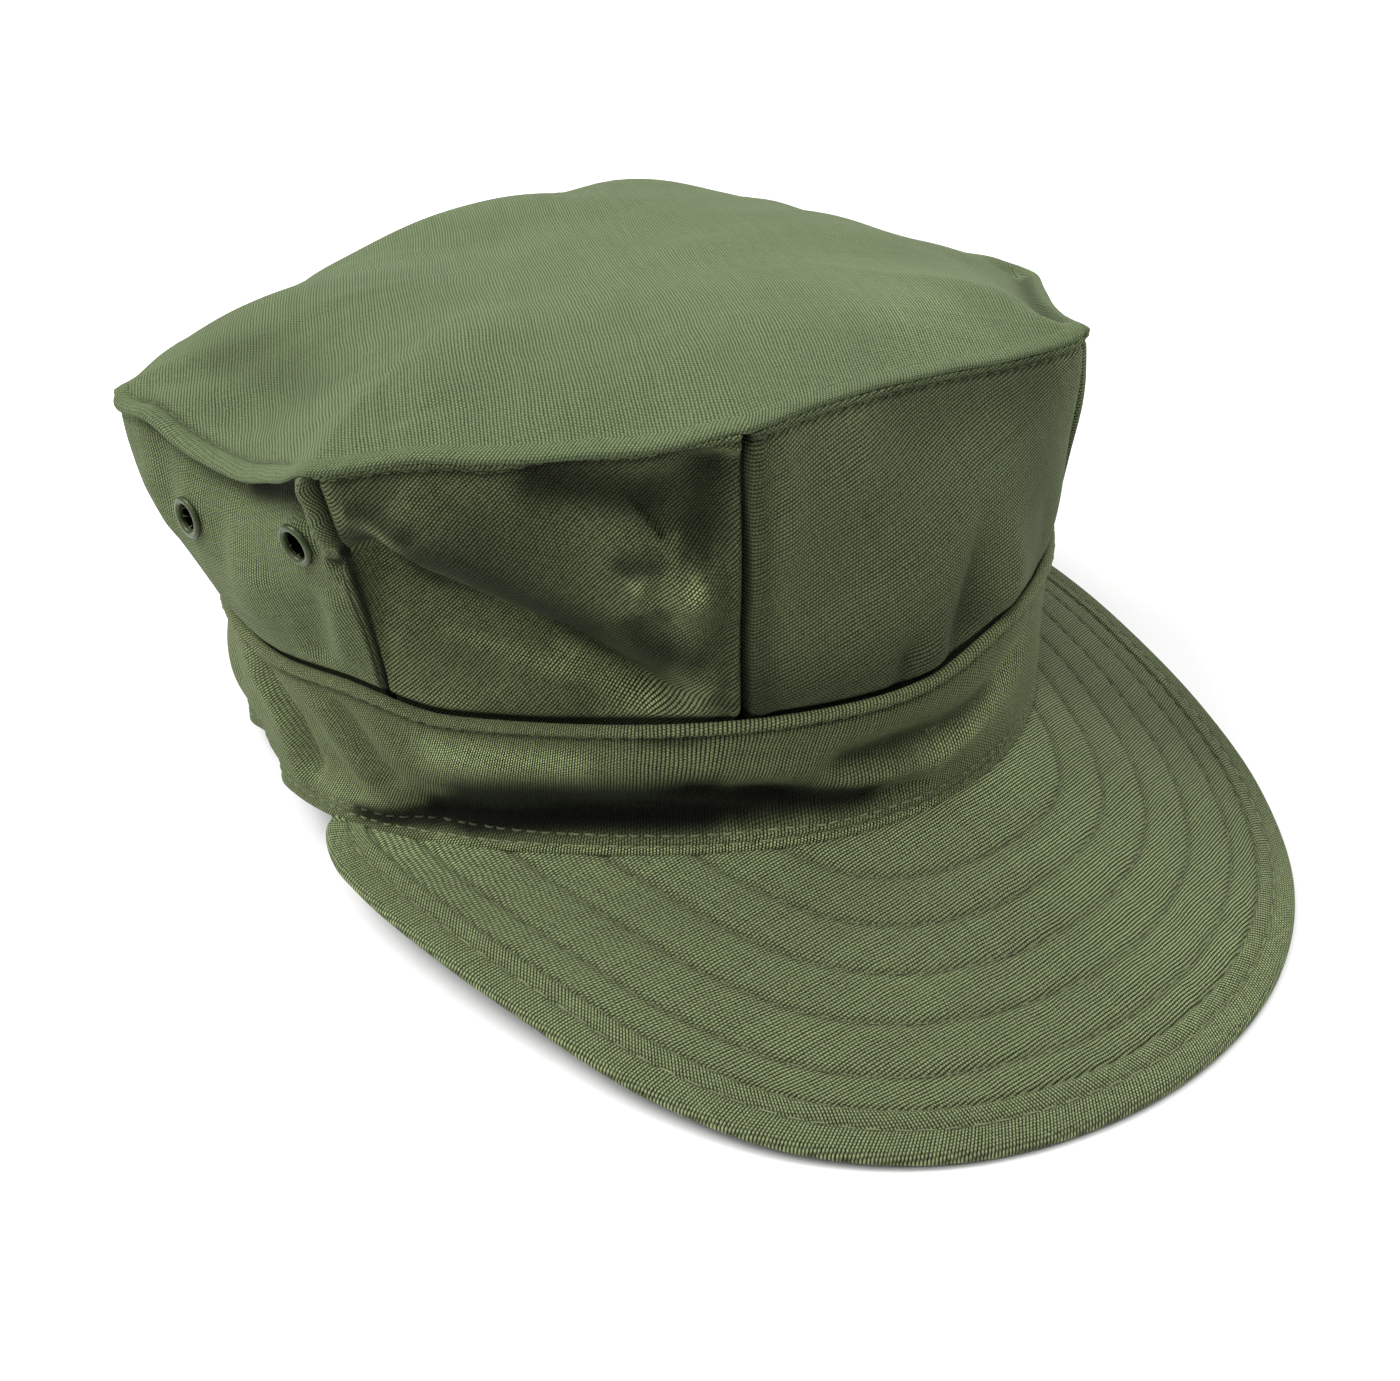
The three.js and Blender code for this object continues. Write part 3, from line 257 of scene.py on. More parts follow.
# Folds of the band. at: degrees from the front; h: mm above its lower edge; path: such
# pairs.
BAND_FOLDS = [
    dict(path=[(-75, 4.6), (-67, 5.8), (-58, 7.2), (-45, 8.0), (-33, 8.4), (-25, 8.0), (-17, 7.6)], out=-4.8, lo=3.2, hi=7.0, sharp=1.9, ends=(14, 14)),
    dict(path=[(-114, 2), (-104, 0), (-93, 1.5)], out=-2.8, lo=8.0, hi=9.0, ends=(9, 9)),
    dict(path=[(-70, 19), (-56, 20), (-40, 20.5), (-27, 21.5)], out=1.6, lo=6.0, hi=6.0, ends=(12, 10)),
    dict(path=[(-40, 15.8), (-36, 15.6), (-31, 15.0), (-24.25, 11.9), (-17.75, 8.8), (-10.75, 8.0), (-4, 9.0)], out=-2.6, lo=2.2, hi=4.0, sharp=1.8, ends=(12, 10)),
    dict(path=[(-21, 18.2), (-15.5, 18.8), (-10, 19.4), (-3.75, 17.6), (0.75, 17.8), (8, 19.5), (16, 22)], out=-3.0, lo=3.4, hi=4.2, sharp=1.8, ends=(10, 14)),
    dict(path=[(-18, 13.8), (-11, 13.2), (-4, 12.6), (4, 14)], out=1.3, lo=2.8, hi=2.6, ends=(8, 8)),
    dict(path=[(-104, 34), (-97, 28), (-91.75, 21.0), (-88.5, 11), (-87, 4)], out=2.0, lo=2.4, hi=2.6, ends=(8, 4)),
    dict(path=[(-99, 34), (-92.5, 27), (-86.8, 17), (-83.4, 7)], out=-2.2, lo=1.9, hi=2.2, sharp=1.6, ends=(4, 6)),
    dict(path=[(-90, 33), (-84.5, 28), (-79.5, 20), (-74.5, 10)], out=1.6, lo=2.6, hi=2.6, ends=(3, 5)),
    dict(path=[(-84, 32), (-79.5, 27), (-75, 19), (-71, 11)], out=-1.5, lo=2.2, hi=2.2, ends=(3, 5)),
    dict(path=[(-77, 30), (-71.5, 22), (-66, 13)], out=0.9, lo=2.4, hi=2.6, ends=(4, 5)),
    dict(path=[(-135, 24), (-122, 20), (-112, 18), (-104, 17)], out=1.6, lo=7.0, hi=7.0, ends=(12, 8)),
    dict(at=-104, h=-3.3, turn=0, length=50, lo=13, hi=13, out=-0.6),
    dict(at=-112, h=34.5, turn=0, length=80, lo=22, hi=22, out=1.6),
    dict(path=[(28, 18), (45, 14), (62, 10), (76, 7)], out=-2.4, lo=3.0, hi=5.0, sharp=1.7, ends=(12, 10)),
    dict(path=[(70, 27), (84, 19), (98, 11)], out=-2.0, lo=4.0, hi=5.0, ends=(10, 10)),
    dict(path=[(120, 24), (140, 17), (160, 13)], out=-1.8, lo=4.0, hi=5.0, ends=(12, 12)),
    dict(path=[(-172, 22), (-155, 16), (-140, 9)], out=-1.6, lo=4.0, hi=5.0, ends=(12, 10)),
]


def smooth(t):
    t = np.clip(t, 0.0, 1.0)
    return t * t * (3.0 - 2.0 * t)


def fold(along, across, f):
    across = across - f.get("bend", 0.0) * (along / 10.0) ** 2
    w = np.where(across < 0, f["lo"], f["hi"])
    s = f.get("sharp", 2.0)
    core = np.exp(-np.abs(across / w) ** s)
    return f["out"] * core * np.exp(-np.abs(2 * along / f["length"]) ** 3)


def along_path(x, y, pts, f):
    """a fold that follows a line of points, mm; its left side is hi, its right side lo"""
    p = np.array(pts, float)
    t = np.linspace(0, len(p) - 1, 8 * (len(p) - 1) + 1)
    i = np.minimum(t.astype(int), len(p) - 2)
    w = (t - i)[:, None]
    q = lambda k: p[np.clip(k, 0, len(p) - 1)]
    p0, p1, p2, p3 = q(i - 1), q(i), q(i + 1), q(i + 2)
    c = p1 + 0.5 * w * (p2 - p0 + w * (2 * p0 - 5 * p1 + 4 * p2 - p3 + w * (3 * (p1 - p2) + p3 - p0)))
    seg = np.linalg.norm(np.diff(c, axis=0), axis=1)
    run = np.concatenate([[0], np.cumsum(seg)])
    X, Y = np.broadcast_arrays(x, y)
    best = np.full(X.shape, 1e9)
    side = np.zeros(X.shape)
    at = np.zeros(X.shape)
    for k in range(len(seg)):
        ax, ay = c[k]
        dx, dy = (c[k + 1] - c[k]) / max(seg[k], 1e-9)
        l = (X - ax) * dx + (Y - ay) * dy
        lc = np.clip(l, 0, seg[k])
        ox, oy = X - ax - lc * dx, Y - ay - lc * dy
        d = np.hypot(ox, oy)
        near = d < best
        best = np.where(near, d, best)
        side = np.where(near, dx * (Y - ay) - dy * (X - ax), side)
        at = np.where(near, run[k] + lc, at)
    w = np.where(side > 0, f["hi"], f["lo"])
    e0, e1 = f.get("ends", (6.0, 6.0))
    fade = np.ones(X.shape)
    if e0 > 0:
        fade = fade * smooth(at / e0)
    if e1 > 0:
        fade = fade * smooth((run[-1] - at) / e1)
    sharp = np.where(side > 0, f.get("sharp", 2.0), f.get("sharp_lo", f.get("sharp", 2.0)))
    return f["out"] * np.exp(-(best / w) ** sharp) * fade


def turned(d, e, turn):
    c, n = math.cos(math.radians(turn)), math.sin(math.radians(turn))
    return d * c + e * n, -d * n + e * c


def wavy(x, y, seed, size):
    """smooth deterministic unevenness, about -1 to 1"""
    r = np.random.RandomState(seed)
    s = np.zeros(np.broadcast(x, y).shape)
    for k in range(7):
        a = r.uniform(0, math.pi)
        f = 2 * math.pi / (size * r.uniform(0.7, 1.9))
        s = s + math.sqrt(1 / 3.5) * np.sin((x * math.cos(a) + y * math.sin(a)) * f + r.uniform(0, 6.28))
    return s / 1.4


def rim_radius(a):
    return sum(s * np.cos(h * a) for h, s in RIM)


RIM_FRONT, RIM_BACK = float(rim_radius(0.0)), float(rim_radius(math.pi))


def rim_height(y):
    plane = RIM_RISE * (RIM_BACK - y) / (RIM_FRONT + RIM_BACK)
    return plane * (1 - smooth((y - REST_FROM) / (REST_TO - REST_FROM)))


def band_fold(a, up):
    s = 0.0
    for f in BAND_FOLDS:
        if "path" in f:
            deg = np.degrees(np.arctan2(np.sin(a), np.cos(a)))
            own = along_path(deg * 1.676, up, [(b * 1.676, c) for b, c in f["path"]], f)
            s = s + own * (0.1 + 0.9 * smooth((31.5 - up) / 6.0))
            continue
        d = a - math.radians(f["at"])
        d = np.arctan2(np.sin(d), np.cos(d)) * 96.0
        al, ac = turned(d, up - f["h"], f["turn"])
        s = s + fold(al, ac, f)
    at_peak = np.abs(np.arctan2(np.sin(a), np.cos(a))) < math.radians(PEAK_END)
    return s * np.where(at_peak, smooth(up / 7.0), 1.0)


def band_painted_shade(a, up):
    deg = np.degrees(np.arctan2(np.sin(a), np.cos(a)))
    # painted shade in the stitch ditch under the rolled top edge, darker at each needle hole, then the BAND_SHADE paths
    s = (0.42 + 0.2 * np.sin(deg * 1.676 * 2 * math.pi / 3.1)) * np.exp(-((up - 30.6) / 0.42) ** 2)
    for f in BAND_SHADE:
        s = s + along_path(deg * 1.676, up, [(b * 1.676, c) for b, c in f["path"]], f)
    return 0.965 * np.tanh(s / 0.965)


def band_rise(a):
    """the band is taller at the sides than at the front"""
    d = np.degrees(np.arctan2(np.sin(a), np.cos(a)))
    return (4.5 * smooth((-64 - d) / 16) * (1 - 0.755 * smooth((-122 - d) / 40))
            + 4.0 * smooth((d + 12) / 24) * (1 - 0.725 * smooth((d - 60) / 60)) - np.exp(-((d + 40) / 22) ** 2)
            - 2.0 * smooth((d + 103) / 14) * smooth((5 - d) / 12))


def band_point(a, up, inset=0.0, fine=True):
    lift = np.clip(up, 0, BAND_HEIGHT)
    r = rim_radius(a) - BAND_LEAN * up + band_fold(a, lift) - inset
    y = -rim_radius(a) * np.cos(a)
    tall = up * (1 + np.where(np.asarray(up) > 0, band_rise(a) / BAND_HEIGHT, 0.0))
    return np.stack(np.broadcast_arrays(r * np.sin(a), -r * np.cos(a), rim_height(y) + tall), -1)


def peak_outer(a):
    t = np.asarray(a, float) * (180 / math.pi) / 10.0 + 9.0
    n = len(PEAK_OUTLINE)
    i = np.clip(np.floor(t), 0, n - 2).astype(int)
    w = np.clip(t - i, 0, 1)
    at = lambda k: PEAK_OUTLINE[np.clip(k, 0, n - 1)]
    p0, p1, p2, p3 = at(i - 1), at(i), at(i + 1), at(i + 2)
    return p1 + 0.5 * w * (p2 - p0 + w * (2 * p0 - 5 * p1 + 4 * p2 - p3 + w * (3 * (p1 - p2) + p3 - p0)))


def peak_dark(a):
    """the side of the peak that the crown shades is a little darker, the front lighter"""
    d = np.degrees(a)
    return 0.24 * smooth((d - 22) / 12) - 0.20 * np.exp(-((d - 8) / 14) ** 2)


def peak_height(a, r):
    ri = rim_radius(a)
    slope = PEAK_SLOPE + PEAK_SLOPE_SIDE * (1 - np.cos(a))
    return rim_height(-ri * np.cos(a)) - slope * (r - ri)


def edge_point(p, u):
    a, b = np.array(CORNERS[p["a"]]["p"]), np.array(CORNERS[p["b"]]["p"])
    a = a - [0, 0, 0]
    u = np.asarray(u, float)
    q = a + (b - a) * u[..., None]
    at = p["at"]
    w = np.where(u < at, u / at, (1 - u) / (1 - at))
    k = np.sin(math.pi / 2 * np.clip(w, 0, 1)) ** 1.4
    inward = MIDDLE - q[..., :2]
    inward /= np.linalg.norm(inward, axis=-1)[..., None]
    q[..., :2] += inward * (p["pull"] * k)[..., None]
    q[..., 2] -= p["sag"] * k
    for c, w, up in p.get("swells", ()):
        q[..., 2] += up * np.exp(-((u - c) / w) ** 2) * smooth(u / 0.1) * smooth((1 - u) / 0.1)
    long = np.linalg.norm(b - a)
    for key, d in (("a", u * long), ("b", (1 - u) * long)):
        size, wide = ROUND.get(p[key], (1.2, 2.6))
        q[..., :2] += inward * (size * np.exp(-(d / wide) ** 2))[..., None]
    q[..., 2] += CORNERS[p["a"]]["tip"] * np.exp(-(u / 0.07) ** 2) + CORNERS[p["b"]]["tip"] * np.exp(-((1 - u) / 0.07) ** 2)
    return q


def foot_angle(p, u):
    a, b = CORNERS[p["a"]]["foot"], CORNERS[p["b"]]["foot"]
    while b < a:
        b += 360
    return np.radians(a + (b - a) * np.asarray(u, float))


def panel_size(p):
    e = edge_point(p, np.array([0.0, 1.0]))
    return float(np.linalg.norm(e[1] - e[0]))


def panel_point(p, u, v, fine=True):
    """outer face of a side panel; u along it, v up it"""
    u, v = np.broadcast_arrays(np.asarray(u, float), np.asarray(v, float))
    low = band_point(foot_angle(p, u), BAND_HEIGHT + 0.7, 0.25)
    high = edge_point(p, u)
    q = low + (high - low) * v[..., None]
    out = q[..., :2] - MIDDLE
    out /= np.linalg.norm(out, axis=-1)[..., None]
    wide = panel_size(p)
    tall = np.linalg.norm(high - low, axis=-1)
    bow = CORNERS[p["a"]]["bow"] * (1 - u) + CORNERS[p["b"]]["bow"] * u
    s = (p["belly"] * 4 * u * (1 - u) + bow) * 4 * v * (1 - v)
    ends = smooth(v / 0.12) * smooth((1 - v) / 0.12) * smooth(u / 0.1) * smooth((1 - u) / 0.1)
    for f in FOLDS.get(p["name"], ()):
        if "path" in f:
            if fine:
                k = p["tall"]
                own = along_path(u * wide, v * k, [(a * wide, b * k) for a, b in f["path"]], f)
                # the four edges stay where the neighbours are
                own = own * smooth(np.minimum(u, 1 - u) * wide / 1.6) * smooth((1 - v) * tall / 2.5)
                s = s + own * (f.get("low", 0.12) + (1 - f.get("low", 0.12)) * smooth(v * tall / 6.0))
            continue
        al, ac = turned((u - f["u"]) * wide, (v - f["v"]) * tall, f["turn"])
        s = s + fold(al, ac, f) * ends
    if fine:
        s = s + panel_fine(p, u, v, wide, tall)
    q = q.copy()
    q[..., :2] += out * s[..., None]
    return q


def seam_depth(corner, v):
    """how deep the seam is drawn in there"""
    g = CORNERS[corner]["groove"]
    return g + 1.8 * smooth((v - 0.60) / 0.06) if corner == "B" else g + 0.0 * np.asarray(v, float)


def seam_wide(corner, v):
    w = CORNERS[corner]["wide"]
    return 0.62 + (w - 0.62) * smooth((v - 0.58) / 0.08) if corner == "B" else w + 0.0 * np.asarray(v, float)


def ledge(v):
    """mm from the seam to the edge of the strip beside it, under the tube"""
    return 0.85 + 0.85 * np.clip(v, 0, 1)


def panel_fine(p, u, v, wide, tall):
    x, y = u * wide, v * tall
    k = PANELS.index(p)
    s = 0.35 * wavy(x, y, 11 + k, 34.0) * smooth(v / 0.15) * smooth((1 - v) / 0.1)
    for key, d in (("a", x), ("b", wide - x)):
        s = s - seam_depth(p[key], v) * np.exp(-(d / seam_wide(p[key], v)) ** 2)
    if p["name"] == "panel_front":
        # the seam allowance lies under this side of the seam
        s = s + (0.55 + 0.22 * np.sin(y * 2 * math.pi / 3.3 + 1.5 * np.sin(y / 5.0))) * np.exp(-((x - 2.9) / 1.5) ** 2) * smooth(x / 1.2)
    if p["name"] == "panel_front_right":
        s = s + 0.4 * np.exp(-((wide - x - 1.9) / 0.7) ** 2)
    if p["name"] == "panel_side_right":
        low = smooth((0.61 - v) / 0.04)
        s = s + low * (0.6 * np.exp(-((wide - x - 0.55 * ledge(v)) / 0.3) ** 2) - 0.7 * np.exp(-((wide - x - ledge(v)) / 0.32) ** 2))
    # the folded strip over the stitch line, and the ditch that the stitches draw in
    d = (1 - v) * tall
    puff = STRIP.get(p["name"], 0.4)
    s = s + puff * smooth((STITCH_AT - d) / 0.9) * (1 + 0.18 * np.sin(x * 2 * math.pi / 3.9 + 1.9 * np.sin(x / 8.0)))
    s = s - (0.28 + 0.35 * puff) * np.exp(-((d - STITCH_AT - 0.15) / 0.45) ** 2)
    # the cloth goes down behind the band's rolled edge
    s = s - 1.5 * np.exp(-(np.maximum(v, 0) * tall / 1.3) ** 2)
    return s


def panel_painted_shade(p, u, v):
    wide, k = panel_size(p), p["tall"]
    x, y = u * wide, v * k
    # painted shadow along the foot, where the panel goes down behind the band's rolled edge
    s = (0.8 if p["name"] == "panel_side_right" else 1.1) * np.exp(-(np.maximum(y, 0) / 0.7) ** 2)
    # painted shade in the seam grooves, more for deeper seams, and a dark line in seam B's ditch below the tube
    for key, d in (("a", x), ("b", wide - x)):
        s = s + (0.5 if p[key] == "B" else 0.26) * seam_depth(p[key], v) * np.exp(-(d / (seam_wide(p[key], v) * 1.1)) ** 2)
        if p[key] == "B":
            s = s + 1.5 * smooth((0.63 - v) / 0.04) * np.exp(-(d / 0.34) ** 2)
    # painted shade in the ditch beside seam B under the tube, and painted highlight on the raised strip between
    if p["name"] == "panel_side_right":
        low = smooth((0.61 - v) / 0.04)
        s = s + low * (1.7 * np.exp(-((wide - x - ledge(v)) / 0.32) ** 2) - 0.5 * np.exp(-((wide - x - 0.55 * ledge(v)) / 0.25) ** 2))
    # the SHADE paths: painted shade and painted highlight
    for f in SHADE.get(p["name"], ()):
        s = s + along_path(x, y, [(a * wide, b * k) for a, b in f["path"]], f)
    if p["name"] in ("panel_front_right", "panel_front"):
        # painted shade in the needle holes along the edge
        d = k - y
        s = s + (0.34 + 0.26 * np.sin(x * 2 * math.pi / 3.2)) * np.exp(-((d - STITCH_AT - 0.1) / 0.42) ** 2)
    return 0.95 * np.tanh(s / 0.95)


def top_painted_shade(x, y):
    # painted shade and painted highlight of the TOP_SHADE paths
    s = 0.0 * x
    for f in TOP_SHADE:
        s = s + along_path(x, y, f["path"], f)
    return 0.8 * np.tanh(s / 0.8)


def plane_height(x, y):
    return PLANE[0] + PLANE[1] * (x - MIDDLE[0]) + PLANE[2] * (y - MIDDLE[1])


def top_point(p, u, s, fine=True):
    u, s = np.broadcast_arrays(np.asarray(u, float), np.asarray(s, float))
    e = edge_point(p, u)
    x = MIDDLE[0] + (e[..., 0] - MIDDLE[0]) * s
    y = MIDDLE[1] + (e[..., 1] - MIDDLE[1]) * s
    z = plane_height(x, y) + (e[..., 2] - plane_height(e[..., 0], e[..., 1])) * s ** 3 + DOME * (1 - s ** DOME_POWER)
    d = 0.0
    for f in RIM_DENTS:
        z = z + along_path(x, y, f["path"], f) * smooth((1 - s) / 0.028)
    for f in DENTS:
        if "path" in f:
            d = d + along_path(x, y, f["path"], f)
            continue
        al, ac = turned(x - f["x"], y - f["y"], f["turn"])
        d = d + fold(al, ac, f)
    if fine:
        d = d + 0.35 * wavy(x, y, 3, 40.0)
    z = z + d * smooth((1 - s) / 0.12)
    return np.stack([x, y, z], -1)
# ---- geometry: end -----------------------------------------------------------


# ---- mesh helpers -----------------------------------------------------------------
def to_frame(p):
    return (np.asarray(p, float) + SHIFT) / 1000.0


def grid_quads(rows, cols, wrap=False):
    """corner numbers of the quads of a rows x cols grid; a wrapped one closes on itself"""
    i = np.arange(rows - 1)[:, None]
    j = np.arange(cols if wrap else cols - 1)[None, :]
    k = (j + 1) % cols if wrap else j + 1
    return np.stack([i * cols + j, i * cols + k, (i + 1) * cols + k, (i + 1) * cols + j], -1).reshape(-1, 4)


def grid_uv_quads(rows, cols):
    """the same for a grid of uv values that has a column more when it wraps"""
    return grid_quads(rows, cols)


def normals_of(g, wrap=False):
    if wrap:
        du = np.roll(g, -1, 1) - np.roll(g, 1, 1)
    else:
        du = np.gradient(g, axis=1)
    dv = np.gradient(g, axis=0)
    n = np.cross(du, dv)
    return n / np.maximum(np.linalg.norm(n, axis=-1), 1e-12)[..., None]


class Build:
    """collects points and faces of one mesh; positions in mm, uv in mm"""

    def __init__(self):
        self.pos, self.quad, self.uv, self.uvq, self.tri, self.uvt, self.mq, self.mt = [], [], [], [], [], [], [], []
        self.n = self.k = 0
        self.shade = []

    def points(self, p, shade=0.0):
        p = np.asarray(p, float).reshape(-1, 3)
        self.pos.append(p)
        self.shade.append(np.broadcast_to(np.asarray(shade, float).reshape(-1), len(p)))
        self.n += len(p)
        return self.n - len(p)

    def uvs(self, p):
        p = np.asarray(p, float).reshape(-1, 2)
        self.uv.append(p)
        self.k += len(p)
        return self.k - len(p)

    def quads(self, q, uq, mat=0):
        q = np.asarray(q, int).reshape(-1, 4)
        self.quad.append(q)
        self.uvq.append(np.asarray(uq, int).reshape(-1, 4))
        self.mq.append(np.full(len(q), mat))

    def tris(self, t, ut, mat=0):
        t = np.asarray(t, int).reshape(-1, 3)
        self.tri.append(t)
        self.uvt.append(np.asarray(ut, int).reshape(-1, 3))
        self.mt.append(np.full(len(t), mat))

    def make(self, name, mats, outward=True):
        pos = np.concatenate(self.pos)
        uv = np.concatenate(self.uv)
        quad = np.concatenate(self.quad) if self.quad else np.zeros((0, 4), int)
        uvq = np.concatenate(self.uvq) if self.quad else np.zeros((0, 4), int)
        tri = np.concatenate(self.tri) if self.tri else np.zeros((0, 3), int)
        uvt = np.concatenate(self.uvt) if self.tri else np.zeros((0, 3), int)
        if outward:
            c = pos.mean(0)
            vol = 0.0
            for q in (quad[:, [0, 1, 2]], quad[:, [0, 2, 3]], tri):
                a, b, d = (pos[q[:, m]] - c for m in range(3))
                vol += float(np.einsum("ij,ij->i", a, np.cross(b, d)).sum())
            if vol < 0:
                quad, uvq, tri, uvt = quad[:, ::-1], uvq[:, ::-1], tri[:, ::-1], uvt[:, ::-1]
        me = bpy.data.meshes.new(name)
        me.vertices.add(len(pos))
        me.vertices.foreach_set("co", to_frame(pos).astype(np.float32).ravel())
        loops = np.concatenate([quad.ravel(), tri.ravel()])
        uvl = np.concatenate([uvq.ravel(), uvt.ravel()])
        me.loops.add(len(loops))
        me.loops.foreach_set("vertex_index", loops.astype(np.int32))
        starts = np.concatenate([np.arange(len(quad)) * 4, len(quad) * 4 + np.arange(len(tri)) * 3])
        me.polygons.add(len(starts))
        me.polygons.foreach_set("loop_start", starts.astype(np.int32))
        me.polygons.foreach_set("use_smooth", np.ones(len(starts), bool))
        me.polygons.foreach_set("material_index", np.concatenate(self.mq + self.mt).astype(np.int32))
        me.update(calc_edges=True)
        layer = me.uv_layers.new(name="cloth")
        layer.data.foreach_set("uv", uv[uvl].astype(np.float32).ravel())
        # crease: per point, painted shade where above 0 and painted highlight where below 0; the materials darken or
        # lighten the colour by it
        tone = me.attributes.new("crease", "FLOAT", "POINT")
        tone.data.foreach_set("value", np.concatenate(self.shade).astype(np.float32))
        me.validate()
        for m in mats:
            me.materials.append(m)
        ob = bpy.data.objects.new(name, me)
        bpy.context.scene.collection.objects.link(ob)
        return ob


def spaced(total, step, close=0.0, first=0.3):
    """places from 0 to total, `step` apart and closer within `close` of both ends"""
    if close <= 0:
        n = max(2, int(round(total / step)))
        return np.linspace(0, total, n + 1)
    side, x, s = [0.0], 0.0, first
    while x < close:
        x += s
        side.append(x)
        s = min(step, s * 1.22)
    mid = total - 2 * x
    n = max(1, int(round(mid / step)))
    m = x + mid * np.arange(1, n) / n
    return np.concatenate([side, m, total - np.array(side[::-1])])


def turn_uv(x, y, deg):
    c, s = math.cos(math.radians(deg)), math.sin(math.radians(deg))
    return np.stack(np.broadcast_arrays(x * c + y * s, -x * s + y * c), -1)


# ---- materials --------------------------------------------------------------------
def node(t, kind, x, y, **props):
    n = t.nodes.new(kind)
    n.location = (x, y)
    for k, v in props.items():
        setattr(n, k, v)
    return n


class Net:
    """short hand for math nodes"""

    def __init__(self, mat):
        self.t = mat.node_tree
        self.x = -2400

    def put(self, sock, v):
        if isinstance(v, (int, float)):
            sock.default_value = v
        else:
            self.t.links.new(v, sock)

    def math(self, op, a, b=None, c=None, clamp=False):
        self.x += 25
        n = node(self.t, "ShaderNodeMath", self.x, (self.x * 37) % 700 - 300, operation=op, use_clamp=clamp)
        for s, v in zip(n.inputs, (a, b, c)):
            if v is not None:
                self.put(s, v)
        return n.outputs[0]

    def noise(self, vec, scale, detail=2.0, rough=0.5, dims="3D"):
        self.x += 25
        n = node(self.t, "ShaderNodeTexNoise", self.x, -600, noise_dimensions=dims)
        self.t.links.new(vec, n.inputs["Vector"])
        n.inputs["Scale"].default_value = scale
        n.inputs["Detail"].default_value = detail
        n.inputs["Roughness"].default_value = rough
        return n.outputs["Fac"]

    def xyz(self, x, y, z):
        self.x += 25
        n = node(self.t, "ShaderNodeCombineXYZ", self.x, -300)
        for s, v in zip(n.inputs, (x, y, z)):
            self.put(s, v)
        return n.outputs[0]


RIB = 0.64      # mm between two ribs of the weave
THREAD = 0.30   # mm between two threads across them


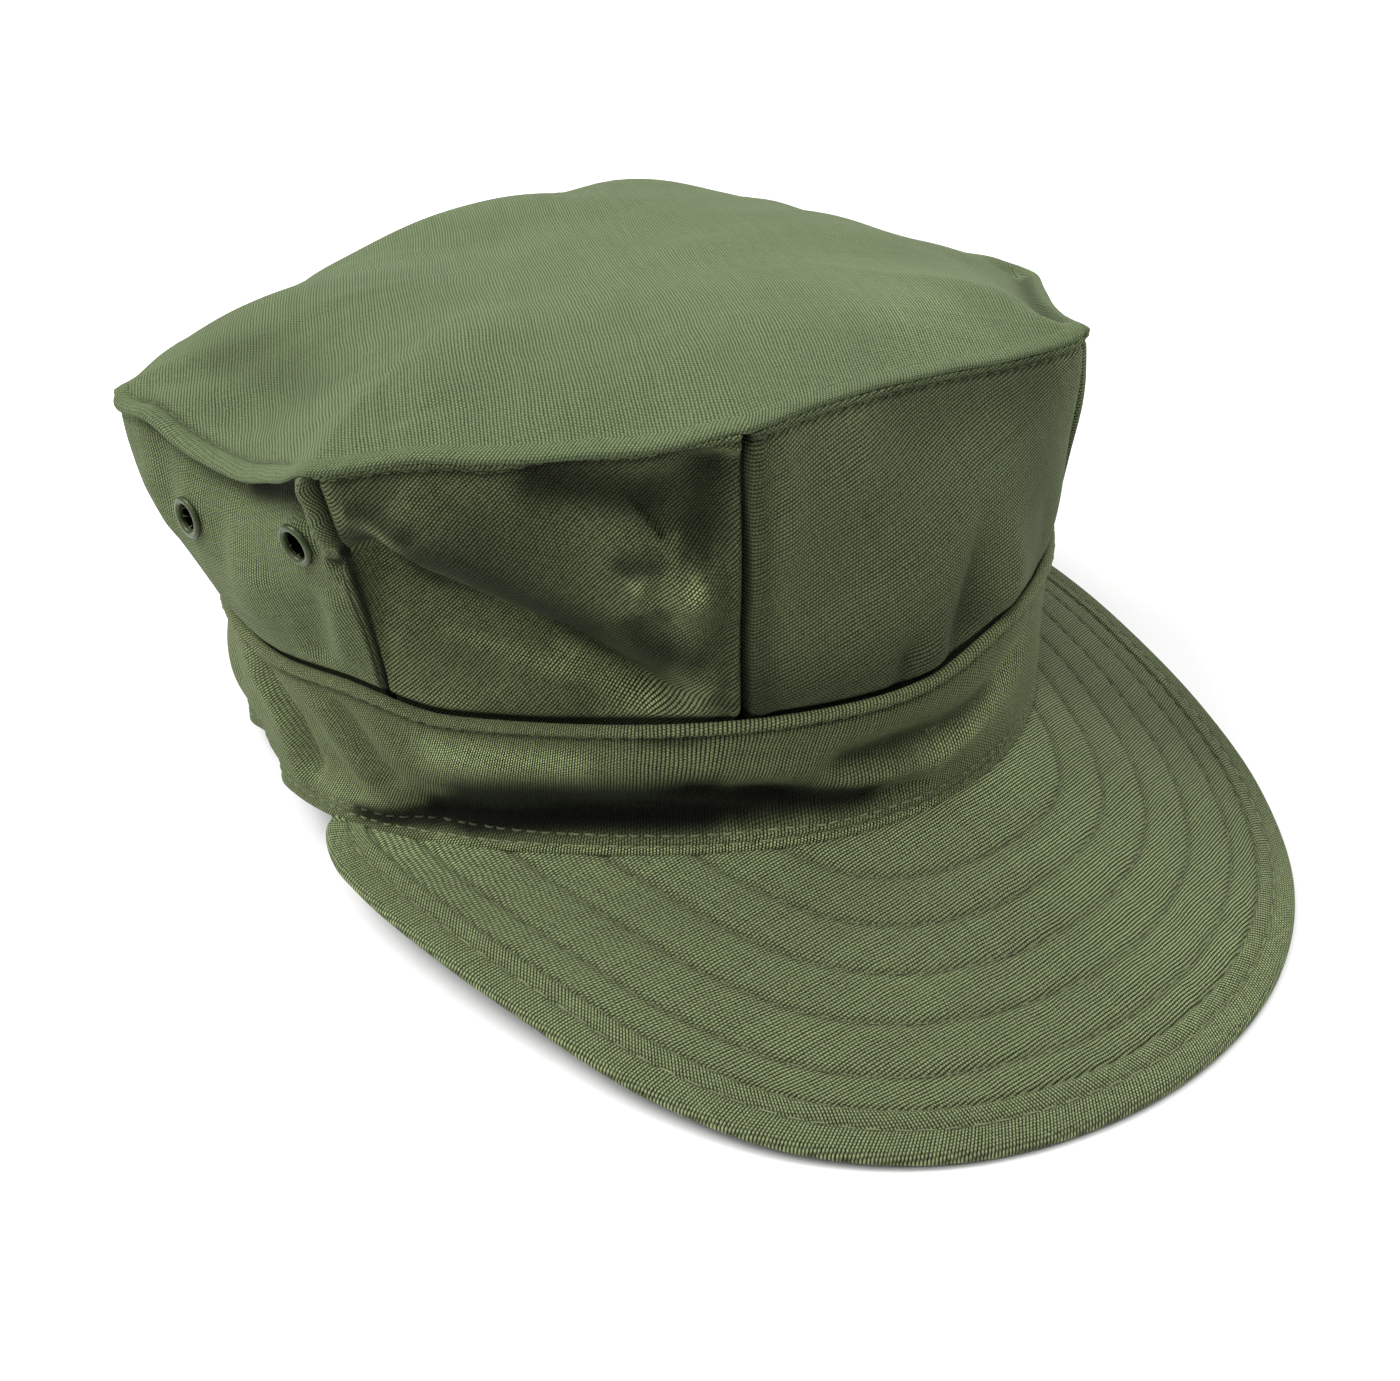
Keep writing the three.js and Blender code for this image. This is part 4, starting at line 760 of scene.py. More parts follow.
def cloth_material(name, colour, seed, rib=RIB, contrast=1.0, relief=1.0, sheen=0.08, slub=1.0):
    m = bpy.data.materials.new(name)
    m.use_nodes = True
    t = m.node_tree
    t.nodes.clear()
    n = Net(m)
    out = node(t, "ShaderNodeOutputMaterial", 1200, 0)
    bsdf = node(t, "ShaderNodeBsdfPrincipled", 900, 0)
    t.links.new(bsdf.outputs[0], out.inputs[0])
    bsdf.inputs["Roughness"].default_value = 0.88
    bsdf.inputs["Specular IOR Level"].default_value = 0.14
    bsdf.inputs["Sheen Weight"].default_value = sheen
    bsdf.inputs["Sheen Roughness"].default_value = 0.45
    bsdf.inputs["Sheen Tint"].default_value = (0.70, 0.85, 0.50, 1.0)
    uv = node(t, "ShaderNodeUVMap", -2700, 0, uv_map="cloth")
    sep = node(t, "ShaderNodeSeparateXYZ", -2600, 0)
    t.links.new(uv.outputs[0], sep.inputs[0])
    u, v = sep.outputs[0], sep.outputs[1]
    base = n.xyz(u, v, float(seed))
    # threads wander a little
    w1 = n.noise(base, 0.055, 2.0)
    w2 = n.noise(n.xyz(v, u, float(seed) + 9.1), 0.06, 2.0)
    uu = n.math("MULTIPLY_ADD", w1, 1.9, u)
    vv = n.math("MULTIPLY_ADD", w2, 1.9, v)
    a = n.math("SINE", n.math("MULTIPLY", uu, math.pi / rib))
    b = n.math("SINE", n.math("MULTIPLY", vv, math.pi / THREAD))
    ribs = n.math("ABSOLUTE", a)
    brick = n.math("MULTIPLY", a, b)
    weave = n.math("MULTIPLY_ADD", brick, 0.26, n.math("MULTIPLY", ribs, 0.74))
    # single thick threads, along the ribs and across them, and uneven yarn
    s1 = n.noise(n.xyz(n.math("MULTIPLY", uu, 1.0 / 0.5), n.math("MULTIPLY", vv, 1.0 / 26.0), float(seed) + 3.3), 1.0, 1.0)
    s2 = n.noise(n.xyz(n.math("MULTIPLY", uu, 1.0 / 30.0), n.math("MULTIPLY", vv, 1.0 / 0.34), float(seed) + 5.7), 1.0, 1.0)
    k1 = n.math("MULTIPLY", n.math("SUBTRACT", s1, 0.775), 9.0, clamp=True)
    k2 = n.math("MULTIPLY", n.math("SUBTRACT", s2, 0.78), 9.0, clamp=True)
    nub = n.noise(n.xyz(n.math("MULTIPLY", uu, 1.0 / 0.5), n.math("MULTIPLY", vv, 1.0 / 1.3), float(seed) + 7.9), 1.0, 2.0)
    k3 = n.math("MULTIPLY", n.math("SUBTRACT", nub, 0.76), 9.0, clamp=True)
    slubs = n.math("MULTIPLY", n.math("ADD", n.math("MULTIPLY", n.math("ADD", k1, k2), 0.55), k3, clamp=True), slub)
    yarn = n.math("ADD", n.math("SUBTRACT", s1, 0.5), n.math("SUBTRACT", s2, 0.5))
    grain = n.math("SUBTRACT", n.noise(n.xyz(n.math("MULTIPLY", uu, 1.0 / 0.42), n.math("MULTIPLY", vv, 1.0 / 0.5), float(seed) + 1.9), 1.0, 2.0), 0.5)
    mottle = n.math("SUBTRACT", n.noise(base, 0.035, 4.0, 0.6), 0.5)
    # brightness of the cloth, about 1
    lum = n.math("MULTIPLY_ADD", weave, 0.95 * contrast, 1.0 - 0.46 * contrast)
    lum = n.math("MULTIPLY_ADD", yarn, 0.18 * contrast, lum)
    lum = n.math("MULTIPLY_ADD", grain, 0.65 * contrast, lum)
    lum = n.math("MULTIPLY_ADD", mottle, 0.16, lum)
    lum = n.math("MULTIPLY_ADD", slubs, 0.36, lum)
    # painted shade and highlight from the crease attribute: above 0 darkens the colour, below 0 lightens it and raises
    # the weave's contrast
    crease = node(t, "ShaderNodeAttribute", -900, 500, attribute_type="GEOMETRY", attribute_name="crease")
    gain = n.math("MULTIPLY_ADD", n.math("MINIMUM", crease.outputs["Fac"], 0.0), -1.7, 1.0)
    gain = n.math("MULTIPLY_ADD", n.math("MAXIMUM", crease.outputs["Fac"], 0.0), -0.3, gain)
    lum = n.math("MULTIPLY_ADD", n.math("SUBTRACT", lum, 1.0), gain, 1.0)
    lum = n.math("MULTIPLY", n.math("MAXIMUM", lum, 0.06), n.math("SUBTRACT", 1.0, crease.outputs["Fac"]))
    mix = node(t, "ShaderNodeMix", 300, 200, data_type="RGBA", blend_type="MIX")
    t.links.new(slubs, mix.inputs[0])
    mix.inputs[6].default_value = (*colour, 1.0)
    mix.inputs[7].default_value = (colour[0] * 1.22, colour[1] * 1.16, colour[2] * 0.92, 1.0)
    scale = node(t, "ShaderNodeVectorMath", 500, 200, operation="SCALE")
    t.links.new(mix.outputs[2], scale.inputs[0])
    t.links.new(lum, scale.inputs["Scale"])
    t.links.new(scale.outputs[0], bsdf.inputs["Base Color"])
    h = n.math("MULTIPLY_ADD", slubs, 0.5, n.math("MULTIPLY_ADD", grain, 0.5, n.math("MULTIPLY_ADD", yarn, 0.35, weave)))
    bump = node(t, "ShaderNodeBump", 650, -250)
    bump.inputs["Strength"].default_value = 1.0
    bump.inputs["Distance"].default_value = 0.00020 * relief
    t.links.new(h, bump.inputs["Height"])
    t.links.new(bump.outputs[0], bsdf.inputs["Normal"])
    return m


def thread_material(name, colour, seed):
    m = bpy.data.materials.new(name)
    m.use_nodes = True
    t = m.node_tree
    t.nodes.clear()
    n = Net(m)
    out = node(t, "ShaderNodeOutputMaterial", 1200, 0)
    bsdf = node(t, "ShaderNodeBsdfPrincipled", 900, 0)
    t.links.new(bsdf.outputs[0], out.inputs[0])
    bsdf.inputs["Roughness"].default_value = 0.55
    bsdf.inputs["Specular IOR Level"].default_value = 0.2
    bsdf.inputs["Sheen Weight"].default_value = 0.05
    uv = node(t, "ShaderNodeUVMap", -2700, 0, uv_map="cloth")
    sep = node(t, "ShaderNodeSeparateXYZ", -2600, 0)
    t.links.new(uv.outputs[0], sep.inputs[0])
    u, v = sep.outputs[0], sep.outputs[1]
    # two plies twisted: stripes that run around the thread
    ply = n.math("SINE", n.math("MULTIPLY_ADD", u, 2 * math.pi / 0.55, n.math("MULTIPLY", v, 2 * math.pi)))
    tone = n.noise(n.xyz(u, v, float(seed)), 0.21, 1.0)
    lum = n.math("MULTIPLY_ADD", ply, 0.16, n.math("MULTIPLY_ADD", tone, 1.1, 0.45))
    # painted shade from the crease attribute darkens the thread
    crease = node(t, "ShaderNodeAttribute", -900, 500, attribute_type="GEOMETRY", attribute_name="crease")
    lum = n.math("MULTIPLY", lum, n.math("SUBTRACT", 1.0, crease.outputs["Fac"]))
    scale = node(t, "ShaderNodeVectorMath", 500, 200, operation="SCALE")
    scale.inputs[0].default_value = colour
    t.links.new(lum, scale.inputs["Scale"])
    t.links.new(scale.outputs[0], bsdf.inputs["Base Color"])
    bump = node(t, "ShaderNodeBump", 650, -250)
    bump.inputs["Strength"].default_value = 0.6
    bump.inputs["Distance"].default_value = 0.00005
    t.links.new(ply, bump.inputs["Height"])
    t.links.new(bump.outputs[0], bsdf.inputs["Normal"])
    return m


def metal_material(name, colour):
    m = bpy.data.materials.new(name)
    m.use_nodes = True
    t = m.node_tree
    t.nodes.clear()
    n = Net(m)
    out = node(t, "ShaderNodeOutputMaterial", 1200, 0)
    bsdf = node(t, "ShaderNodeBsdfPrincipled", 900, 0)
    t.links.new(bsdf.outputs[0], out.inputs[0])
    bsdf.inputs["Metallic"].default_value = 0.0
    bsdf.inputs["Specular IOR Level"].default_value = 0.24
    bsdf.inputs["Specular Tint"].default_value = (0.75, 0.9, 0.55, 1.0)
    bsdf.inputs["Coat Weight"].default_value = 0.0
    bsdf.inputs["Coat Roughness"].default_value = 0.18
    co = node(t, "ShaderNodeTexCoord", -2700, 0)
    wear = n.noise(co.outputs["Object"], 900.0, 3.0)
    fine = n.noise(co.outputs["Object"], 4200.0, 2.0)
    lum = n.math("MULTIPLY_ADD", wear, 0.5, n.math("MULTIPLY_ADD", fine, 0.25, 0.62))
    scale = node(t, "ShaderNodeVectorMath", 500, 200, operation="SCALE")
    scale.inputs[0].default_value = colour
    t.links.new(lum, scale.inputs["Scale"])
    t.links.new(scale.outputs[0], bsdf.inputs["Base Color"])
    # painted shade from the crease attribute: darker in the bore and at the flange's outer foot
    crease = node(t, "ShaderNodeAttribute", -900, 500, attribute_type="GEOMETRY", attribute_name="crease")
    t.links.new(n.math("MULTIPLY", lum, n.math("SUBTRACT", 1.0, crease.outputs["Fac"])), scale.inputs["Scale"])
    t.links.new(n.math("MULTIPLY_ADD", wear, 0.16, 0.17), bsdf.inputs["Roughness"])
    bump = node(t, "ShaderNodeBump", 650, -250)
    bump.inputs["Strength"].default_value = 0.25
    bump.inputs["Distance"].default_value = 0.00004
    t.links.new(fine, bump.inputs["Height"])
    t.links.new(bump.outputs[0], bsdf.inputs["Normal"])
    return m


# One olive cloth in five tints: coolest on the lit top, warmest on the shaded front-right panel and the band: painted
# hue of the bounce light between olive surfaces.
CROWN = cloth_material("crown_cloth", (0.1005, 0.125, 0.0585), 2.0, contrast=2.5)
QUARTER = cloth_material("quarter_cloth", (0.1020, 0.125, 0.0565), 2.5, contrast=2.8)
TOP = cloth_material("top_cloth", (0.0955, 0.125, 0.0595), 5.0, rib=0.60, contrast=1.5)
BAND = cloth_material("band_cloth", (0.1025, 0.125, 0.0575), 8.0, contrast=2.8)
PEAK = cloth_material("peak_cloth", (0.1025, 0.125, 0.0595), 11.0, rib=0.62, contrast=2.8)
THREADS = thread_material("thread", (0.142, 0.166, 0.082), 1.0)
# a darker copy of the thread for the stitches in the peak's row ditches and along the crown's seams: painted shade
THREADS_PAINTED_SHADE = thread_material("thread_painted_shade", (0.096, 0.114, 0.055), 4.0)
METAL = metal_material("eyelet_paint", (0.050, 0.066, 0.032))
MADE = {}


# ---- stitches ---------------------------------------------------------------------
def stitches(b, line, up, pitch, length, thick, seed, mat=1, sink=0.35, lift=0.75, shade=None):
    """adds a row of short thread loops along line; up: normal of the cloth at each point"""
    r = np.random.RandomState(seed)
    seg = np.linalg.norm(np.diff(line, axis=0), axis=1)
    run = np.concatenate([[0], np.cumsum(seg)])
    total = run[-1]
    count = int(total / pitch)
    if count < 1:
        return
    mid = (np.arange(count) + 0.5) * total / count + r.uniform(-0.12, 0.12, count) * pitch
    half = 0.5 * length * r.uniform(0.9, 1.08, count)
    t = np.array([-1.0, -0.86, -0.5, 0.0, 0.5, 0.86, 1.0])
    rise = np.array([-1.2, 0.0, 0.85, 1.0, 0.85, 0.0, -1.2])
    fat = np.array([0.55, 0.85, 1.0, 1.0, 1.0, 0.85, 0.55])
    at = np.clip(mid[:, None] + half[:, None] * t[None, :], 0, total)
    at_i = lambda arr: np.stack([np.interp(at, run, arr[:, k]) for k in range(3)], -1)
    c, nrm = at_i(line), at_i(up)
    nrm /= np.linalg.norm(nrm, axis=-1)[..., None]
    tan = np.gradient(c, axis=1)
    tan /= np.maximum(np.linalg.norm(tan, axis=-1), 1e-9)[..., None]
    side = np.cross(nrm, tan)
    side /= np.maximum(np.linalg.norm(side, axis=-1), 1e-9)[..., None]
    rad = thick / 2
    c = c + nrm * (rad * (rise * lift - sink))[None, :, None] + side * (r.uniform(-0.25, 0.25, (count, 1, 1)) * rad)
    sides = 6
    a = np.arange(sides) * 2 * math.pi / sides
    ring = (np.cos(a)[None, None, :, None] * side[:, :, None, :] + np.sin(a)[None, None, :, None] * nrm[:, :, None, :])
    pts = c[:, :, None, :] + ring * (rad * fat)[None, :, None, None]
    nt = len(t)
    tone = 0.0 * pts[..., 0] if shade is None else np.interp(at, run, shade)[:, :, None] + 0.0 * pts[..., 0]
    base = b.points(pts, tone)
    uvw = np.stack(np.broadcast_arrays(at[:, :, None], (np.arange(sides + 1) / sides)[None, None, :]), -1)
    ubase = b.uvs(uvw)
    q = grid_quads(nt, sides, True)
    uq = grid_quads(nt, sides + 1)
    off = (np.arange(count) * nt * sides)[:, None, None]
    uoff = (np.arange(count) * nt * (sides + 1))[:, None, None]
    b.quads(base + off + q[None], ubase + uoff + uq[None], mat)
    caps = np.array([[0, 3, 2, 1], [0, 5, 4, 3], [0, 1, 2, 3], [0, 3, 4, 5]])
    caps[2:] += (nt - 1) * sides
    ucaps = np.array([[0, 3, 2, 1], [0, 5, 4, 3], [0, 1, 2, 3], [0, 3, 4, 5]])
    ucaps[2:] += (nt - 1) * (sides + 1)
    b.quads(base + off + caps[None], ubase + uoff + ucaps[None], mat)


# ---- side panels ------------------------------------------------------------------
WEAVE_TURN = {
    "panel_front": -70, "panel_front_left": -80, "panel_side_left": -118, "panel_back_left": -70,
    "panel_back": -95, "panel_back_right": -60, "panel_side_right": 8, "panel_front_right": -47,
}
STEP = {"panel_front_right": 0.55, "panel_front": 0.65, "panel_side_right": 0.62}
LIP = 0.8     # mm of the panel's upper edge that goes up behind the top's fold
EYELETS = [
    dict(name="eyelet_right_back", panel="panel_side_right", u=0.352, v=0.632),
    dict(name="eyelet_right_front", panel="panel_side_right", u=0.842, v=0.69),
    dict(name="eyelet_left_front", panel="panel_side_left", u=0.195, v=0.70),
    dict(name="eyelet_left_back", panel="panel_side_left", u=0.68, v=0.67),
]


def panel_frame(p, u, v):
    """place and outward normal of a panel there"""
    e = 0.012
    q = panel_point(p, u, v, fine=False)
    du = panel_point(p, u + e, v, fine=False) - panel_point(p, u - e, v, fine=False)
    dv = panel_point(p, u, v + e, fine=False) - panel_point(p, u, v - e, fine=False)
    n = np.cross(du, dv)
    return q, n / np.linalg.norm(n)


def panel_surface(p, u, v):
    """outer face with the cloth drawn flat around the eyelets"""
    q = panel_point(p, u, v)
    for e in EYELETS:
        if e["panel"] != p["name"]:
            continue
        c, n = panel_frame(p, e["u"], e["v"])
        d = q - c
        h = d @ n
        flat = np.linalg.norm(d - h[..., None] * n, axis=-1)
        k = np.exp(-(np.maximum(flat - 3.6, 0) / 1.5) ** 2)
        dip = -0.25 * np.exp(-((flat - 4.6) / 1.0) ** 2)
        q = q - n * ((h * k)[..., None]) + n * (dip[..., None])
    return q


def build_panel(p):
    wide, tall = panel_size(p), p["tall"]
    step = STEP.get(p["name"], 0.85) * 1.0
    us = spaced(wide, step, 3.4, 0.16) / wide
    vs = spaced(tall, step, 2.0, 0.25) / tall
    ends = edge_point(p, us)
    lows = band_point(foot_angle(p, us), BAND_HEIGHT + 0.7, 0.25)
    talls = np.linalg.norm(ends - lows, axis=-1)
    stop = 1 - LIP / talls
    U = us[None, :] + 0 * vs[:, None]
    V = -0.075 + vs[:, None] * (stop[None, :] + 0.075)
    g = panel_surface(p, U, V)
    n = normals_of(g)
    if (n[len(vs) // 2, len(us) // 2, :2] @ (g[len(vs) // 2, len(us) // 2, :2] - MIDDLE)) < 0:
        n = -n
    # the walls of two neighbours meet on a mitre behind their seam
    depth = np.full(U.shape, CLOTH)
    rad_dir = g[..., :2] - MIDDLE
    rad_dir = np.concatenate([rad_dir / np.linalg.norm(rad_dir, axis=-1)[..., None], 0 * g[..., :1]], -1)
    edge = np.minimum(us, 1 - us) * wide
    w = smooth((edge - 0.2) / 3.0)[None, :, None]
    n = n * w + rad_dir * (1 - w)
    n /= np.linalg.norm(n, axis=-1)[..., None]
    inner = g - n * depth[..., None]
    b = Build()
    rows, cols = U.shape
    a0, a1 = b.points(g, panel_painted_shade(p, U, V)), b.points(inner)
    # the cloth keeps its weave over the folds: lengths are taken along the surface
    along = np.concatenate([np.zeros((rows, 1)), np.cumsum(np.linalg.norm(np.diff(g, axis=1), axis=-1), axis=1)], 1)
    upward = np.concatenate([np.zeros((1, cols)), np.cumsum(np.linalg.norm(np.diff(g, axis=0), axis=-1), axis=0)], 0)
    along += (0.5 * wide - along[:, cols // 2])[:, None]
    upward += (0.5 * tall - upward[rows // 2])[None, :]
    k_u = 1.0 if p["name"] == "panel_side_right" else 0.5
    uv = turn_uv(k_u * along + (1 - k_u) * U * wide, 0.45 * upward + 0.55 * V * talls.mean(), WEAVE_TURN[p["name"]])
    k = b.uvs(uv)
    q = grid_quads(rows, cols)
    b.quads(a0 + q, k + q)
    b.quads((a1 + q)[:, ::-1], (k + q)[:, ::-1])
    j = np.arange(cols - 1)
    i = np.arange(rows - 1)
    for ia, ib in ((j, j + 1), ((rows - 1) * cols + j + 1, (rows - 1) * cols + j), ((i + 1) * cols, i * cols), (i * cols + cols - 1, (i + 1) * cols + cols - 1)):
        b.quads(np.stack([a0 + ib, a0 + ia, a1 + ia, a1 + ib], -1), np.stack([k + ib, k + ia, k + ia, k + ib], -1))
    ob = b.make(p["name"] + "_cloth", [QUARTER if p["name"] == "panel_front_right" else CROWN])
    drill(ob, p)
    return ob


def drill(ob, p):
    """cuts the eyelets' holes through a panel: faces within the hole go, and the rims are joined"""
    me = ob.data
    todo = [e for e in EYELETS if e["panel"] == p["name"]]
    if not todo:
        return
    import bmesh
    bm = bmesh.new()
    bm.from_mesh(me)
    for e in todo:
        c, n = panel_frame(p, e["u"], e["v"])
        cm, nv = Vector(to_frame(c)), Vector(n)
        gone = []
        for f in bm.faces:
            d = f.calc_center_median() - cm
            h = d.dot(nv)
            if abs(h) < 0.006 and (d - nv * h).length < 0.0030:
                gone.append(f)
        bmesh.ops.delete(bm, geom=gone, context="FACES")
        loose = [v for v in bm.verts if not v.link_faces]
        bmesh.ops.delete(bm, geom=loose, context="VERTS")
        rim = [x for x in bm.edges if x.is_boundary and (x.verts[0].co - cm).length < 0.009]
        bmesh.ops.bridge_loops(bm, edges=rim)
    bm.to_mesh(me)
    bm.free()
    me.update()


# ---- top --------------------------------------------------------------------------
# Cross section of the folded edge: mm outward and up from the corner-to-corner edge.
LIP_DOWN = [(-4.4, 0.0), (-3.6, 0.0), (-2.9, 0.03), (-2.2, 0.12), (-1.6, 0.28), (-1.05, 0.46), (-0.5, 0.58), (0.0, 0.58), (0.42, 0.44),
            (0.72, 0.18), (0.86, -0.14), (0.86, -0.48), (0.72, -0.78), (0.45, -0.98), (0.1, -1.08), (-0.35, -1.12), (-0.8, -1.12), (-1.2, -1.1)]
LIP_OUT = [(-4.6, 0.0), (-3.9, -0.1), (-3.2, -0.26), (-2.6, -0.42), (-2.1, -0.3), (-1.6, 0.12), (-1.0, 0.52), (-0.3, 0.72), (0.35, 0.66),
           (0.9, 0.36), (1.25, -0.08), (1.36, -0.55), (1.22, -0.98), (0.85, -1.26), (0.3, -1.4), (-0.35, -1.44), (-1.0, -1.44), (-1.5, -1.4)]

# a flatter edge: a crisp fold with little overhang
LIP_FLAT = [(-4.4, 0.0), (-3.6, 0.0), (-2.9, 0.02), (-2.2, 0.08), (-1.6, 0.17), (-1.05, 0.27), (-0.5, 0.33), (-0.1, 0.33), (0.22, 0.24),
            (0.44, 0.06), (0.54, -0.18), (0.55, -0.45), (0.48, -0.72), (0.32, -0.92), (0.05, -1.04), (-0.35, -1.1), (-0.8, -1.12), (-1.2, -1.1)]
FLAT = {"panel_front": 0.85, "panel_front_left": 0.7, "panel_side_left": 0.8, "panel_back_left": 1.0, "panel_back": 1.0, "panel_back_right": 1.0}


def flat_share(p, u):
    """how flat the folded edge is there, blended over the corners"""
    k = PANELS.index(p)
    own = FLAT.get(p["name"], 0.0)
    before = FLAT.get(PANELS[k - 1]["name"], 0.0)
    after = FLAT.get(PANELS[(k + 1) % len(PANELS)]["name"], 0.0)
    a = (own + before) / 2 + (own - before) / 2 * smooth(u / 0.12)
    return np.where(u < 0.5, a, (own + after) / 2 + (own - after) / 2 * smooth((1 - u) / 0.12))


def lip_share(p, u):
    """how far the folded edge is turned outward there"""
    if p["name"] == "panel_side_right":
        return smooth(u / 0.10) * smooth((0.93 - u) / 0.10)
    return 0.0 * np.asarray(u, float)


def lip_point(p, u, o, z):
    e = edge_point(p, u)
    d = e[..., :2] - MIDDLE
    R = np.linalg.norm(d, axis=-1)
    s = np.clip(1 + np.minimum(o, 0) / R, 0, 1)
    q = top_point(p, u, s)
    out = np.maximum(o, 0)[..., None] * (d / R[..., None])
    q[..., :2] += out
    q[..., 2] += z
    return q


def top_grid():
    cols_per = 64
    ring = []
    for p in PANELS:
        t = np.arange(cols_per) / cols_per
        # closer columns near the corners
        u = t - 0.045 * np.sin(2 * math.pi * t)
        ring.append((p, u))
    return ring


def build_top():
    ring = top_grid()
    n_in = 100
    lip = len(LIP_DOWN)
    outer, under, edge_len = [], [], 0.0
    uv_top, uv_lip = [], []
    run = 0.0
    for p, u in ring:
        e = edge_point(p, u)
        R = np.linalg.norm(e[:, :2] - MIDDLE, axis=-1)
        w = lip_share(p, u)
        fl = flat_share(p, u)[None, :, None]
        prof = np.array(LIP_DOWN)[:, None, :] * (1 - fl) + np.array(LIP_FLAT)[:, None, :] * fl
        prof = prof * (1 - w)[None, :, None] + np.array(LIP_OUT)[:, None, :] * w[None, :, None]
        s_end = 1 + prof[0, :, 0] / R
        t = np.linspace(0, 1, n_in + 1)[1:-1]
        s = (t[:, None] ** 0.9) * s_end[None, :]
        inner_rows = top_point(p, u[None, :] + 0 * s, s)
        wide = panel_size(p)
        x = run + u * wide
        # small puckers where the seam draws the cloth in
        puck = 0.06 * np.sin(x * 2 * math.pi / 5.1 + 1.7 * np.sin(x / 9.0)) + 0.04 * np.sin(x * 2 * math.pi / 3.3 + 2.1 * np.sin(x / 13.0))
        thick = 0.06 * np.sin(x / 7.0) + 0.05 * np.sin(x / 2.9 + 1.0)
        lips = []
        for k in range(lip):
            o = prof[k, :, 0] + (thick if k > 7 else 0)
            z = prof[k, :, 1] + puck * math.sin(math.pi * min(1, k / 8.0)) * 0.8
            lips.append(lip_point(p, u, o, z))
        outer.append(np.concatenate([inner_rows, np.array(lips)]))
        allq = outer[-1]
        uv_top.append(allq[..., :2])
        d = np.concatenate([[0], np.cumsum(np.hypot(*np.diff(np.array(LIP_DOWN), axis=0).T))])
        along = x[None, :] + 0 * d[:, None]
        uv_lip.append((along, d[:, None] + 0 * along, len(s)))
        run += wide
    g = np.concatenate(outer, 1)
    rows, cols = g.shape[:2]
    uvt = np.concatenate(uv_top, 1)
    uvt = turn_uv(np.concatenate([uvt, uvt[:, :1]], 1)[..., 0], np.concatenate([uvt, uvt[:, :1]], 1)[..., 1], -30)
    al = np.concatenate([a for a, _, _ in uv_lip], 1)
    dd = np.concatenate([a for _, a, _ in uv_lip], 1)
    al = np.concatenate([al, al[:, :1] + run], 1)
    dd = np.concatenate([dd, dd[:, :1]], 1)
    uvl = turn_uv(al, dd, 28)
    b = Build()
    # painted shade along the stitch ditch of the turned-out edge, added to the top's painted shade and highlight
    own = np.concatenate([np.zeros(rows - lip), 0.30 * np.exp(-((np.array(LIP_OUT)[:, 0] + 2.5) / 0.5) ** 2) * (np.arange(lip) < 6)])
    lipw = np.concatenate([lip_share(p, u) for p, u in ring])
    a0 = b.points(g, own[:, None] * lipw[None, :] + top_painted_shade(g[..., 0], g[..., 1]))
    n0 = rows - lip
    k0 = b.uvs(uvt)
    k1 = b.uvs(uvl)
    q = grid_quads(rows, cols, True).reshape(rows - 1, cols, 4)
    uq = grid_quads(rows, cols + 1).reshape(rows - 1, cols, 4)
    split = n0 + 3
    b.quads(a0 + q[:split], k0 + uq[:split])
    uql = grid_quads(lip, cols + 1).reshape(lip - 1, cols, 4)
    b.quads(a0 + q[split:], k1 + uql[split - n0:])
    # underside
    nu = 24
    und = []
    for p, u in ring:
        s = np.linspace(0, 0.962, nu + 1)[1:]
        r = top_point(p, u[None, :] + 0 * s[:, None], s[:, None] + 0 * u[None, :], fine=False)
        r[..., 2] -= 1.5
        und.append(r)
    un = np.concatenate(und, 1)
    a1 = b.points(un)
    uvu = np.concatenate([un[..., :2], un[:, :1, :2]], 1)
    k2 = b.uvs(turn_uv(uvu[..., 0], uvu[..., 1], -30))
    qn = grid_quads(nu, cols, True)
    b.quads((a1 + qn)[:, ::-1], (k2 + grid_quads(nu, cols + 1))[:, ::-1])
    j = np.arange(cols)
    jj = (j + 1) % cols
    last, lastu = (rows - 1) * cols, (nu - 1) * cols
    b.quads(np.stack([a0 + last + j, a0 + last + jj, a1 + lastu + jj, a1 + lastu + j], -1),
            np.stack([k2 + (nu - 1) * (cols + 1) + j, k2 + (nu - 1) * (cols + 1) + j + 1] * 2, -1))
    c_top = top_point(PANELS[0], np.array([0.0]), np.array([0.0]))[0]
    t0 = b.points([c_top])
    t1 = b.points([c_top - [0, 0, 1.5]])
    tu = b.uvs(turn_uv(c_top[0], c_top[1], -30))
    b.tris(np.stack([t0 + 0 * j, a0 + jj, a0 + j], -1), np.stack([tu + 0 * j, k0 + j + 1, k0 + j], -1))
    b.tris(np.stack([t1 + 0 * j, a1 + j, a1 + jj], -1), np.stack([tu + 0 * j, k2 + j, k2 + j + 1], -1))
    return b.make("crown_top_cloth", [TOP])


